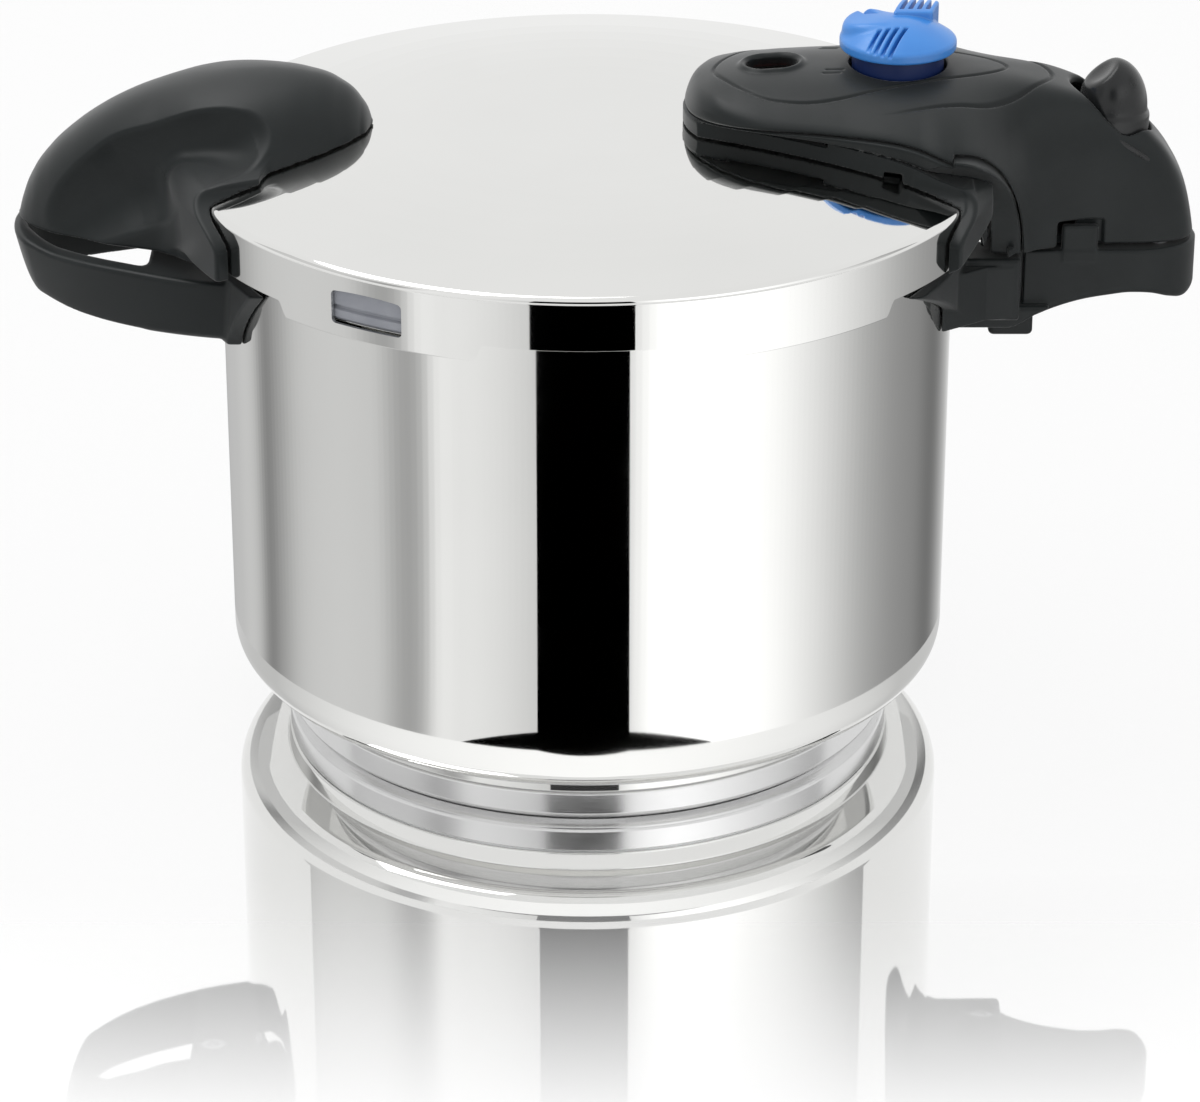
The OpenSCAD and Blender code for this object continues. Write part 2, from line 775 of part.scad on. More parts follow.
module selector_knob() {
    disc_z = 212.4;
    color(selector_blue) {
        translate([valve_x, 0, disc_z]) rotate_extrude() polygon([
            [0, 0], [knob_r - 0.8, 0], [knob_r, 0.8], [knob_r, 2.6], [knob_r - 1, 3.6],
            [12, 5.2], [6, 6.2], [0, 6.4]
        ]);
        // two combs of grip fins, half a turn apart
        for (turn = [0, 180])
            translate([valve_x, 0, disc_z]) rotate([0, 0, turn])
                for (k = [0 : 3])
                    translate([-10.2 + 2.9 * k, -14.6 + 0.5 * k, 1])
                        rotate([90, 0, 90]) linear_extrude(1.3) polygon([
                            [0, 0], [15, 0], [15, 7], [11, 8.6], [6, 9], [2.2, 7.6], [0, 4.2]
                        ]);
        // saddle between the combs
        translate([valve_x - 8, -4.6, disc_z + 4]) cube([16, 9.2, 5.2]);
    }
}

module valve_plunger() {
    color(bright) translate([valve_x, 0, 0]) rotate_extrude() polygon([
        [0, 187.2], [2.6, 189.8], [3.9, 190.4], [3.9, 195], [1.6, 195], [1.6, 197.5], [0, 197.5]
    ]);
}
module valve_spring() { color(bright) spring(valve_x, 3, 0.8, 195.1, 203.3, 4); }

module indicator_washer() { washer(pin_x, 8, 4.8, 184.2); }
module indicator_bush() {
    color(bright) difference() {
        union() {
            post(pin_x, 8, 182.2, 184.2);
            post(pin_x, 4.5, 182.2, 197);
        }
        post(pin_x, 2.5 + run, 180, 199);
    }
}
module indicator_nut() { color(bright) nut(pin_x, 7.4, 4.55, pin_seat, pin_seat + 2.4); }
module indicator_pin() {
    color(bright) {
        post(pin_x, 2.5, 174, 199);
        post(pin_x, 4.4, 173, 174.4);
    }
}
module indicator_seal() {
    color(silicone) translate([pin_x, 0, 175.1]) rotate_extrude()
        translate([3.25, 0]) circle(r = 0.7, $fn = 24);
}
module indicator_cap() {
    color([0.75, 0.1, 0.08]) difference() {
        post(pin_x, 3.8, 197.2, 200.4);
        post(pin_x, 2.52, 196, 199.05);
    }
}

safety_low = 182;
module safety_washer() { washer(safety_x, 8, 5.3, safety_low); }
module safety_body() {
    color("goldenrod") difference() {
        union() {
            post(safety_x, 8, safety_low - 2.4, safety_low);
            post(safety_x, 5, safety_low - 2.4, 201);
        }
        post(safety_x, 1.6, 170, 190);
        post(safety_x, 3.4, 185.4, 199.4);
        for (a = [0, 90])
            translate([safety_x, 0, 199.5]) rotate([0, 0, a]) cube([2, 6, 4], center = true);
    }
}
module safety_nut() { color("goldenrod") nut(safety_x, 8, 5.05, safety_seat, safety_seat + 3); }
module safety_plunger() {
    color(bright) translate([safety_x, 0, 0]) rotate_extrude() polygon([
        [0, 186], [2, 188], [3.3, 188.4], [3.3, 191], [1.3, 191], [1.3, 192.6], [0, 192.6]
    ]);
}
module safety_spring() { color(bright) spring(safety_x, 2.5, 0.7, 191.1, 199.2, 5); }

// ---------------------------------------------------------------- lock

module lock_bar() {
    color(bright) difference() {
        union() {
            translate([132.5, -11.5, 180]) cube([button_x + 8 - 132.5, 23, 1.8]);
            translate([button_x - tongue_t / 2, -tongue_w / 2, tongue_z])
                cube([tongue_t, tongue_w, 180 - tongue_z + 1]);
        }
        post(lid_screw_x, 4, 178, 184);
        post(button_x + 5, 1.6, 178, 184);
    }
}
module lock_button() {
    color(phenolic) difference() {
        union() {
            post(button_x, 7.4, 181.8, 192);
            hull() {
                translate([button_x + 0.2, 0, 190]) scale([1, 1.04, 0.3]) sphere(r = 10, $fn = 32);
                translate([button_x + 1, 0, 199.5]) scale([1, 1.1, 1]) sphere(r = 8.2, $fn = 32);
                translate([button_x + 4, 0, 194]) scale([0.9, 1.4, 1]) sphere(r = 6.4, $fn = 32);
            }
        }
        post(button_x + 5, 1.45, 180, 188);
    }
}
module lock_screw() { color(bright) screw(button_x + 5, 0, 178.2, 187, 1.4, 2.7, 1.7); }

pot_body();
base_core();
base_capsule();
pot_main_bracket();
pot_main_handle();
pot_main_screw();
pot_helper_bracket();
pot_helper_handle();
pot_helper_screw();
sealing_ring();
lid_shell();
lid_main_bracket();
lid_handle_tray();
lid_handle_shell();
lid_handle_screw();
lid_shell_screws();
lid_helper_bracket();
lid_helper_cover();
lid_helper_screw();
valve_body();
valve_washer();
valve_nut();
indicator_bush();
indicator_washer();
indicator_nut();
safety_body();
safety_washer();
safety_nut();
selector_knob();
selector_sleeve();
valve_plunger();
valve_spring();
indicator_pin();
indicator_seal();
indicator_cap();
safety_plunger();
safety_spring();
lock_button();
lock_bar();
lock_screw();
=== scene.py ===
import json
import math

import bmesh
import bpy
import numpy as np
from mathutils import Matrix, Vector


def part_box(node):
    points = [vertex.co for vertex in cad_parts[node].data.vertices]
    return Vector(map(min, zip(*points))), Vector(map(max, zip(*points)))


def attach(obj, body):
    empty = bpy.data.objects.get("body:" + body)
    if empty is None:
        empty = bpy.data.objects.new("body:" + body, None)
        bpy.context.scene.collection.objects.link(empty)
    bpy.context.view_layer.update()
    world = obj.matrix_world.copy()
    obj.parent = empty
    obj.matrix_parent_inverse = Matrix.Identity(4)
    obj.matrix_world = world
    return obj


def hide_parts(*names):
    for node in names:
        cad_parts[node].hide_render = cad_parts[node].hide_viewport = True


# A stove-top pressure cooker with a bayonet lid. The steel is turned from profiles. Moulded pieces are
# fields, negative inside the plastic, that surface() turns into meshes.
# Lengths in this script are millimetres in the frame's own axes, and MM turns them into metres.

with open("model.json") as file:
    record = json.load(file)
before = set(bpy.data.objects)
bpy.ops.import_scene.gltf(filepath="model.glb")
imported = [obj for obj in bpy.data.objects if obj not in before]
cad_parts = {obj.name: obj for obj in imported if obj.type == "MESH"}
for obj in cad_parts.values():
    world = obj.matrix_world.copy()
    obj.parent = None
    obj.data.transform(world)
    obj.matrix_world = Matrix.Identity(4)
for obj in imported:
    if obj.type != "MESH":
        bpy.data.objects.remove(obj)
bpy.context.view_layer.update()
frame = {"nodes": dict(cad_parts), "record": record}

MM = 0.001
STEP = 0.6  # grid step of the moulded pieces


# -------------------- numbers taken from the frame

def node_box(name):
    """Lowest and highest corners of a CAD node, in millimetres."""
    low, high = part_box(name)
    return np.array(low) / MM, np.array(high) / MM


lid_low, lid_high = node_box("lid_shell")
LID_R = lid_high[0]
LID_TOP = lid_high[2]
DOME = 8.0  # rise of the dome
DOME_POWER = 3.4  # how much of that rise is near the edge
SHOULDER = 2.3  # radius between the dome and the skirt
LID_Z = LID_TOP - DOME - SHOULDER
LID_T = 1.0
SKIRT_LOW = lid_low[2]
SKIRT_HIGH = SKIRT_LOW + 4.6  # lower edge between the skirt's long stretches
DOME_R = LID_R - SHOULDER
POT_R = 111.0
POT_T = 0.9
FLANGE_Z = node_box("pot_body")[1][2]
LUG_R = node_box("pot_body")[1][0]
NECK_R = 113.2  # the pot's flange between the lugs
BASE_R, BASE_TOP = node_box("base_capsule")[1][[0, 2]]
POT_LOW = node_box("pot_body")[0][2]
PART_Z = (node_box("lid_handle_shell")[0][2] + node_box("pot_helper_handle")[1][2]) / 2
MAIN_END = node_box("lid_handle_shell")[1][0]
VALVE_X = sum(b[0] for b in node_box("valve_body")) / 2
PIN_X = sum(b[0] for b in node_box("indicator_pin")) / 2
BUTTON_X = sum(b[0] for b in node_box("lock_bar")) / 2 + 8.7


def lid_top(r):
    """Height of the lid's outer surface at radius r."""
    return LID_Z + SHOULDER + DOME * (1 - (np.minimum(r, DOME_R) / DOME_R) ** DOME_POWER)


# -------------------- fields for moulded pieces

def curve(rows):
    """A smooth function through (x, value) rows."""
    xs, ys = np.array(rows, float).T
    slopes = np.gradient(ys, xs)

    def at(x):
        x = np.clip(x, xs[0], xs[-1])
        i = np.clip(np.searchsorted(xs, x, side="right") - 1, 0, len(xs) - 2)
        w = xs[i + 1] - xs[i]
        s = (x - xs[i]) / w
        return (ys[i] * (2 * s**3 - 3 * s**2 + 1) + slopes[i] * w * (s**3 - 2 * s**2 + s)
                + ys[i + 1] * (3 * s**2 - 2 * s**3) + slopes[i + 1] * w * (s**3 - s**2))
    return at


def join(a, b, k):
    """Union of two fields with a fillet of size k."""
    h = np.clip(0.5 + 0.5 * (b - a) / k, 0, 1)
    return b * (1 - h) + a * h - k * h * (1 - h)


def both(a, b, k):
    """Intersection of two fields with a rounding of size k."""
    return -join(-a, -b, k)


def cut(a, b, k):
    """Field a less field b, with a rounding of size k."""
    return both(a, -b, k)


def block(x, y, z, low, high, r=0.5):
    """Rounded box between two corners."""
    middle = [(a + b) / 2 for a, b in zip(low, high)]
    half = [(b - a) / 2 - r for a, b in zip(low, high)]
    d = [np.abs(p - m) - s for p, m, s in zip((x, y, z), middle, half)]
    out = np.sqrt(sum(np.maximum(q, 0) ** 2 for q in d))
    return out + np.minimum(np.maximum(np.maximum(d[0], d[1]), d[2]), 0) - r


def stadium(x, y, cx, half, r):
    """Distance in plan to a slot along X."""
    return np.hypot(np.maximum(np.abs(x - cx) - half, 0), y) - r


def ramp(x, a, b):
    """Rises smoothly from 0 at a to 1 at b."""
    s = np.clip((x - a) / (b - a), 0, 1)
    return s * s * (3 - 2 * s)


def spline(points, count=12):
    """A closed smooth outline through points in plan."""
    p = np.array(points, float)
    a, b, c, d = (np.roll(p, k, axis=0)[:, None] for k in (1, 0, -1, -2))
    t = (np.arange(count) / count)[None, :, None]
    out = 0.5 * (2 * b + (c - a) * t + (2 * a - 5 * b + 4 * c - d) * t**2 + (3 * b - a - 3 * c + d) * t**3)
    return out.reshape(-1, 2)


def line_gap(x, y, line, reach=3.0):
    """Distance in plan to a closed outline, exact within reach of it."""
    out = np.full(np.shape(x), reach)
    for a, b in zip(line, np.roll(line, -1, axis=0)):
        low, high = np.minimum(a, b) - reach, np.maximum(a, b) + reach
        near = (x > low[0]) & (x < high[0]) & (y > low[1]) & (y < high[1])
        px, py = x[near] - a[0], y[near] - a[1]
        d = b - a
        t = np.clip((px * d[0] + py * d[1]) / max(d @ d, 1e-9), 0, 1)
        out[near] = np.minimum(out[near], np.hypot(px - t * d[0], py - t * d[1]))
    return out


def sampled(field, axes, step):
    """The field on a fine grid, worked out only near its surface."""
    n = 4
    middles = [a[0] + step * (np.arange(len(a) // n) * n + (n - 1) / 2) for a in axes]
    rough = field(*np.meshgrid(*middles, indexing="ij"))
    values = rough.repeat(n, 0).repeat(n, 1).repeat(n, 2)
    near = np.abs(values) < 3.2 * n * step / 2 + 2
    i, j, k = np.nonzero(near)
    for part in np.array_split(np.arange(len(i)), max(len(i) // 400000, 1)):
        a, b, c = i[part], j[part], k[part]
        values[a, b, c] = field(axes[0][a], axes[1][b], axes[2][c])
    return values


def surface(name, field, low, high, step=None):
    """A mesh of the field's zero surface, from surface nets moved on to the exact surface."""
    step = (step or STEP) * 1
    axes = []
    for a, b in zip(low, high):
        count = int(math.ceil((b - a) / step)) + 6
        axes.append(a - 3 * step + step * np.arange(count + (-count) % 4))
    values = sampled(field, axes, step)
    inside = values < 0
    shape = np.array(values.shape) - 1
    cell_of, place_of, quads = [], [], []
    for axis in range(3):
        others = [o for o in range(3) if o != axis]
        first = [slice(None)] * 3
        second = [slice(None)] * 3
        first[axis], second[axis] = slice(0, -1), slice(1, None)
        a, b = values[tuple(first)], values[tuple(second)]
        at = np.argwhere(inside[tuple(first)] != inside[tuple(second)])
        va, vb = a[tuple(at.T)], b[tuple(at.T)]
        place = at.astype(float)
        place[:, axis] += va / (va - vb)
        ring = []
        for shift in ((0, 0), (1, 0), (1, 1), (0, 1)):
            cell = at.copy()
            cell[:, others[0]] -= shift[0]
            cell[:, others[1]] -= shift[1]
            ring.append(np.ravel_multi_index(np.clip(cell, 0, shape - 1).T, shape))
            cell_of.append(ring[-1])
            place_of.append(place)
        ring = np.stack(ring, 1)
        flip = (va > 0) != (axis == 1)
        ring[flip] = ring[flip][:, ::-1]
        quads.append(ring)
    cells, where = np.unique(np.concatenate(cell_of), return_inverse=True)
    count = np.bincount(where)
    places = np.concatenate(place_of)
    grid = np.stack([np.bincount(where, places[:, k]) / count for k in range(3)], 1)
    points = np.stack([axes[k][0] + step * grid[:, k] for k in range(3)], 1)
    faces = np.searchsorted(cells, np.concatenate(quads))
    faces = faces[(np.diff(np.sort(faces, 1), axis=1) > 0).all(1)]
    eps = 0.12
    for _ in range(3):
        value, slope = field_slope(field, points, eps)
        size = np.maximum((slope**2).sum(1), 0.05)
        move = slope * (value / size)[:, None]
        long = np.maximum(np.linalg.norm(move, axis=1) / (0.5 * step), 1)
        points -= move / long[:, None]
    slope = field_slope(field, points, 0.25)[1]
    normals = slope / np.maximum(np.linalg.norm(slope, axis=1), 1e-9)[:, None]
    return make_mesh(name, points, faces, normals)


def field_slope(field, points, eps):
    """The field's value and slope at points."""
    x, y, z = points.T
    slope = np.stack([
        (field(x + eps, y, z) - field(x - eps, y, z)) / (2 * eps),
        (field(x, y + eps, z) - field(x, y - eps, z)) / (2 * eps),
        (field(x, y, z + eps) - field(x, y, z - eps)) / (2 * eps),
    ], 1)
    return field(x, y, z), slope


def make_mesh(name, points, faces, normals=None):
    """A Blender object from points in millimetres; faces is an array of quads or a list of loops."""
    mesh = bpy.data.meshes.new(name)
    mesh.from_pydata((points * MM).tolist(), [], faces.tolist() if hasattr(faces, "tolist") else faces)
    mesh.shade_smooth()
    if normals is not None:
        mesh.normals_split_custom_set_from_vertices(normals.tolist())
    mesh.update()
    piece = bpy.data.objects.new(name, mesh)
    bpy.context.scene.collection.objects.link(piece)
    return piece


# -------------------- turned pieces

def rounded(corners, steps=6):
    """Rows of (r, z, normal r, normal z) along a profile whose (r, z, radius) corners are rounded."""
    rows = []
    pts = [np.array(c[:2], float) for c in corners]
    for i, corner in enumerate(corners):
        if i == 0 or i == len(corners) - 1:
            d = pts[i + 1] - pts[i] if i == 0 else pts[i] - pts[i - 1]
            d = d / np.linalg.norm(d)
            rows.append((*pts[i], d[1], -d[0]))
            continue
        a, b = pts[i] - pts[i - 1], pts[i + 1] - pts[i]
        la, lb = np.linalg.norm(a), np.linalg.norm(b)
        a, b = a / la, b / lb
        turn = math.atan2(a[0] * b[1] - a[1] * b[0], a @ b)
        radius = max(corner[2], 0.05)
        reach = min(radius * math.tan(abs(turn) / 2), 0.49 * la, 0.49 * lb)
        radius = reach / max(math.tan(abs(turn) / 2), 1e-9)
        start = pts[i] - a * reach
        side = 1 if turn > 0 else -1
        centre = start + side * radius * np.array([-a[1], a[0]])
        for k in range(steps + 1):
            t = turn * k / steps
            out = np.array([a[1], -a[0]])
            c, s = math.cos(t), math.sin(t)
            out = np.array([out[0] * c - out[1] * s, out[0] * s + out[1] * c])
            rows.append((*(centre + side * radius * out), *out))
    return np.array(rows)


def between(rows, low, high, spacing):
    """Adds rows along straight, upright stretches, so that they can be warped or pierced."""
    out = [rows[0]]
    for a, b in zip(rows[:-1], rows[1:]):
        if abs(a[0] - b[0]) < 1e-6 and min(a[1], b[1]) < high and max(a[1], b[1]) > low:
            n = max(int(abs(a[1] - b[1]) / spacing), 1)
            out += [a + (b - a) * k / n for k in range(1, n)]
        out.append(b)
    return np.array(out)


def lathe(name, rows, segments=360, warp=None, centre=(0, 0), closed=False, hole=None):
    """Turns profile rows about a vertical axis; warp(angle, r, z) moves points, hole() drops faces."""
    angles = np.linspace(0, 2 * np.pi, segments, endpoint=False)
    n = len(rows)
    a = np.repeat(angles, n)
    r, z, nr, nz = np.tile(rows, (segments, 1)).T
    if warp:
        r, z = warp(a, r, z)
    points = np.stack([centre[0] + r * np.cos(a), centre[1] + r * np.sin(a), z], 1)
    normals = np.stack([nr * np.cos(a), nr * np.sin(a), nz], 1)
    i = np.arange(segments)[:, None] * n
    j = np.roll(np.arange(segments), -1)[:, None] * n
    k = np.arange(n if closed else n - 1)[None, :]
    m = (k + 1) % n
    faces = np.stack([i + k, j + k, j + m, i + m], -1).reshape(-1, 4)
    if hole is not None:
        mid_a = np.angle(np.exp(1j * a[faces]).mean(1))
        faces = faces[~hole(mid_a, r[faces].mean(1), z[faces].mean(1))]
    loops = []
    on_axis = np.abs(r) < 1e-6
    for f in faces.tolist():
        f = [first_on_axis(v, n, on_axis) for v in f]
        f = [v for q, v in enumerate(f) if v != f[q - 1]]
        if len(f) > 2:
            loops.append(f)
    used = sorted({v for f in loops for v in f})
    index = {v: q for q, v in enumerate(used)}
    return make_mesh(name, points[used], [[index[v] for v in f] for f in loops], normals[used])


def first_on_axis(v, n, on_axis):
    """The one point that all turns share where the profile meets the axis."""
    return v % n if on_axis[v] else v


# -------------------- materials

def new_material(name):
    """A new node material, with its nodes, links and main shader."""
    m = bpy.data.materials.new(name)
    m.use_nodes = True
    nodes = m.node_tree.nodes
    return m, nodes, m.node_tree.links, nodes["Principled BSDF"]


def add(nodes, kind, **values):
    """A new node with the given inputs or settings."""
    node = nodes.new(kind)
    for key, value in values.items():
        if key in node.inputs:
            node.inputs[key].default_value = value
        else:
            setattr(node, key, value)
    return node


def noise(nodes, links, place, scale, detail=4.0, rough=0.55):
    """Fractal noise over the piece."""
    node = add(nodes, "ShaderNodeTexNoise", Scale=scale, Detail=detail, Roughness=rough)
    links.new(place, node.inputs["Vector"])
    return node.outputs["Fac"]


def spread(nodes, links, value, low, high, start=0.3, end=0.7):
    """The value's range from start to end, mapped to low to high."""
    node = add(nodes, "ShaderNodeMapRange")
    node.inputs["From Min"].default_value = start
    node.inputs["From Max"].default_value = end
    node.inputs["To Min"].default_value = low
    node.inputs["To Max"].default_value = high
    links.new(value, node.inputs["Value"])
    return node.outputs["Result"]


def tint(nodes, links, value, dark, light):
    """A colour that runs from dark to light with the value."""
    node = add(nodes, "ShaderNodeValToRGB")
    node.color_ramp.elements[0].position = 0.3
    node.color_ramp.elements[0].color = (*dark, 1)
    node.color_ramp.elements[1].position = 0.7
    node.color_ramp.elements[1].color = (*light, 1)
    links.new(value, node.inputs["Fac"])
    return node.outputs["Color"]


def bump(nodes, links, shader, height, strength, distance):
    node = add(nodes, "ShaderNodeBump", Strength=strength, Distance=distance)
    links.new(height, node.inputs["Height"])
    links.new(node.outputs["Normal"], shader.inputs["Normal"])


def object_place(nodes):
    return add(nodes, "ShaderNodeTexCoord").outputs["Object"]


def moulded(name, dark, light, rough, grain=0.12, gloss=0.5, sheen=0.0):
    """Moulded plastic: fine grain, faint mottling and handling marks in the roughness."""
    m, nodes, links, shader = new_material(name)
    place = object_place(nodes)
    links.new(tint(nodes, links, noise(nodes, links, place, 60), dark, light), shader.inputs["Base Color"])
    patches = noise(nodes, links, place, 35, 6.0, 0.6)
    links.new(spread(nodes, links, patches, rough[0], rough[1]), shader.inputs["Roughness"])
    shader.inputs["Specular IOR Level"].default_value = gloss
    shader.inputs["Sheen Weight"].default_value = sheen
    shader.inputs["Sheen Roughness"].default_value = 0.45
    bump(nodes, links, shader, noise(nodes, links, place, 2600, 2.0), grain, 0.0001)
    return m


def metal(name, dark, light, rough, turned=0.0, fleck=0.02):
    """Metal with faint wipe marks; turned is the depth of lathe lines that run round the axis."""
    m, nodes, links, shader = new_material(name)
    place = object_place(nodes)
    links.new(tint(nodes, links, noise(nodes, links, place, 9), dark, light), shader.inputs["Base Color"])
    shader.inputs["Metallic"].default_value = 1.0
    smears = noise(nodes, links, place, 26, 8.0, 0.62)
    links.new(spread(nodes, links, smears, rough[0], rough[1], 0.35, 0.75), shader.inputs["Roughness"])
    if turned:
        split = add(nodes, "ShaderNodeSeparateXYZ")
        links.new(place, split.inputs["Vector"])
        flat = add(nodes, "ShaderNodeCombineXYZ")
        links.new(split.outputs["X"], flat.inputs["X"])
        links.new(split.outputs["Y"], flat.inputs["Y"])
        size = add(nodes, "ShaderNodeVectorMath", operation="LENGTH")
        links.new(flat.outputs["Vector"], size.inputs[0])
        line = add(nodes, "ShaderNodeCombineXYZ")
        links.new(size.outputs["Value"], line.inputs["X"])
        links.new(split.outputs["Z"], line.inputs["Z"])
        rings = noise(nodes, links, line.outputs["Vector"], 1800, 2.0)
        bump(nodes, links, shader, rings, turned, 0.00005)
    else:
        bump(nodes, links, shader, noise(nodes, links, place, 900, 3.0), fleck, 0.00002)
    return m


# Material slots: darkest and lightest colour, lowest and highest roughness, and the rest of the recipe
METALS = {
    "polished_steel": ((0.735, 0.735, 0.72), (0.765, 0.765, 0.75), (0.02, 0.055)),
    "brushed_steel": ((0.62, 0.62, 0.62), (0.74, 0.74, 0.74), (0.14, 0.26), 0.25),
    "plain_steel": ((0.50, 0.50, 0.51), (0.64, 0.64, 0.65), (0.2, 0.36), 0.0, 0.1),
    "aluminium_core": ((0.70, 0.71, 0.73), (0.78, 0.79, 0.8), (0.3, 0.45), 0.0, 0.1),
    "spring_steel": ((0.40, 0.40, 0.42), (0.52, 0.52, 0.54), (0.18, 0.3), 0.0, 0.05),
    "brass": ((0.62, 0.44, 0.16), (0.76, 0.58, 0.26), (0.18, 0.32), 0.0, 0.05),
}
PLASTICS = {
    "phenolic": ((0.0045, 0.0068, 0.0072), (0.007, 0.0098, 0.0102), (0.34, 0.44), 0.22, 0.24, 0.13),
    "button_black": ((0.007, 0.008, 0.0085), (0.011, 0.012, 0.0125), (0.24, 0.34), 0.1, 0.35, 0.12),
    "selector_blue": ((0.034, 0.19, 0.56), (0.044, 0.225, 0.62), (0.26, 0.36), 0.1),
    "selector_dark": ((0.005, 0.017, 0.085), (0.007, 0.022, 0.105), (0.32, 0.42), 0.1, 0.3),
    # selector_dark is the selector's blue made darker: painted shade for the collar under the knob
    "indicator_red": ((0.42, 0.02, 0.015), (0.5, 0.03, 0.02), (0.2, 0.3), 0.05),
    "silicone": ((0.22, 0.23, 0.26), (0.28, 0.29, 0.32), (0.42, 0.55), 0.3),
}
materials = {name: metal(name, *recipe) for name, recipe in METALS.items()}
materials.update({name: moulded(name, *recipe) for name, recipe in PLASTICS.items()})


def dress(piece, slot, body, *replaced):
    """Gives a new piece its material, its body and the CAD nodes that it stands for."""
    piece.data.materials.clear()
    piece.data.materials.append(materials[slot])
    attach(piece, body)
    if replaced:
        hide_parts(*replaced)
    return piece


def dress_cad_nodes():
    """Gives each CAD node the material of its slot."""
    slots = {s["node"]: s["material_slot"] for s in frame["record"]["subparts"]}
    for name, node in frame["nodes"].items():
        node.data.materials.clear()
        node.data.materials.append(materials[slots[name]])


# -------------------- pot

def lobes(angle, width, edge):
    """1 inside six stretches of that width in degrees, centred on 0, 60 and so on, and 0 between them."""
    off = np.abs((np.degrees(angle) + 30) % 60 - 30)
    return 1 - ramp(off, width / 2 - edge, width / 2 + edge)


def make_pot():
    """The deep-drawn vessel with its pressed step, flange and lugs."""
    corner = 21.0
    step_r, step_top = BASE_R + 0.9, POT_LOW + 5.3
    rise = step_top + (POT_R - step_r) * 0.268
    inner = POT_R - POT_T
    rows = rounded([
        (0, POT_LOW, 0),
        (BASE_R + 0.2, POT_LOW, 0.7),
        (step_r, step_top, 0.5),
        (POT_R, rise, corner),
        (POT_R, FLANGE_Z - 1.8, 0.6),
        (NECK_R, FLANGE_Z - 1.8, 0.5),
        (NECK_R, FLANGE_Z, 0.5),
        (inner, FLANGE_Z, 1.2),
        (inner, rise + POT_T * 0.7, corner - POT_T),
        (step_r - POT_T, step_top + POT_T, 0.6),
        (BASE_R - POT_T, POT_LOW + POT_T, 1.4),
        (0, POT_LOW + POT_T, 0),
    ], steps=14)

    def lugs(angle, r, z):
        reach = (r - POT_R - 0.6) / (NECK_R - POT_R - 0.6)
        grown = (LUG_R - NECK_R) * lobes(angle, 27, 0.7) * np.clip(reach, 0, 1)
        return r + np.where(z > FLANGE_Z - 2.5, grown, 0), z

    dress(lathe("pot_vessel", rows, 720, lugs), "polished_steel", "pot", "pot_body")


def make_base():
    """The steel cup over the heat-spreading disc, which the cooker stands on."""
    top = BASE_TOP
    rows = rounded([
        (0, 0, 0),
        (BASE_R - 22, 0, 0.5),
        (BASE_R - 21.2, 0.5, 0.4),
        (BASE_R - 20.4, 0, 0.4),
        (BASE_R - 3, 0, 1.5),
        (BASE_R, 2.4, 2.2),
        (BASE_R, top - 0.6, 0.6),
        (BASE_R - 0.9, top, 0.4),
        (BASE_R - 0.9, top - 0.6, 0.1),
        (0, top - 0.6, 0),
    ])
    dress(lathe("base_cap", rows, 360), "brushed_steel", "pot", "base_capsule")


# -------------------- lid

WINDOW = (math.radians(-120.7), 169.4, 11.8, 4.9)  # angle, height, half width, half height
WINDOW_ENDS = (163.5, 176)  # heights between which the sheet may be cut
SKIRT_BEND = 176.5  # above this height the skirt is a plain ring
TAB_R = 114.6  # inner radius of the six tabs
TAB_T = 1.2


def window_gap(angle, z):
    """Distance to the rounded window in the skirt, negative inside it."""
    turn = np.angle(np.exp(1j * (angle - WINDOW[0])))
    u, v = LID_R * turn, z - WINDOW[1]
    arch = 0.8 * (1 - (u / WINDOW[2]) ** 2) * (v > 0)
    r = 1.3
    du, dv = np.abs(u) - WINDOW[2] + r, np.abs(v) - WINDOW[3] - arch + r
    return np.hypot(np.maximum(du, 0), np.maximum(dv, 0)) + np.minimum(np.maximum(du, dv), 0) - r


def make_lid():
    """The domed lid with its stepped skirt and window."""
    inner = LID_R - LID_T
    dome = [(DOME_R * k / 12, lid_top(DOME_R * k / 12)) for k in range(13)]
    profile = [(0, dome[0][1] - LID_T, 0)]
    profile += [(r, z - LID_T, 30) for r, z in dome[1:-1]]
    profile += [(inner - 1.2, dome[-1][1] - LID_T - 0.1, 1.2), (inner, LID_Z - 0.6, 1.2)]
    profile += [(inner, SKIRT_LOW, 0.4), (LID_R, SKIRT_LOW, 0.4)]
    profile += [(LID_R, LID_Z + SHOULDER + 0.05, SHOULDER)]
    profile += [(r, z, 30) for r, z in dome[-2:0:-1]]
    profile += [(0, dome[0][1], 0)]
    rows = between(rounded(profile, steps=8), SKIRT_LOW, LID_Z, 0.42)

    def skirt(angle, r, z):
        low = SKIRT_HIGH + (SKIRT_LOW - SKIRT_HIGH) * lobes(angle, 31, 0.85)
        moved = low + (z - SKIRT_LOW) * (SKIRT_BEND - low) / (SKIRT_BEND - SKIRT_LOW)
        return r, np.where(z < SKIRT_BEND, moved, z)

    def pierced(angle, _, z):
        return (window_gap(angle, z) < 0) & (z < WINDOW_ENDS[1]) & (z > WINDOW_ENDS[0])

    lid = lathe("lid_dome", rows, 1440, skirt, hole=pierced)
    snap_window(lid)
    dress(lid, "polished_steel", "lid", "lid_shell")
    tabs = rounded([
        (TAB_R, SKIRT_LOW, 0.4), (inner + 0.3, SKIRT_LOW, 0.1), (inner + 0.3, SKIRT_LOW + TAB_T, 0.1),
        (TAB_R, SKIRT_LOW + TAB_T, 0.5), (TAB_R, SKIRT_LOW, 0.4)])
    make_tabs(tabs)


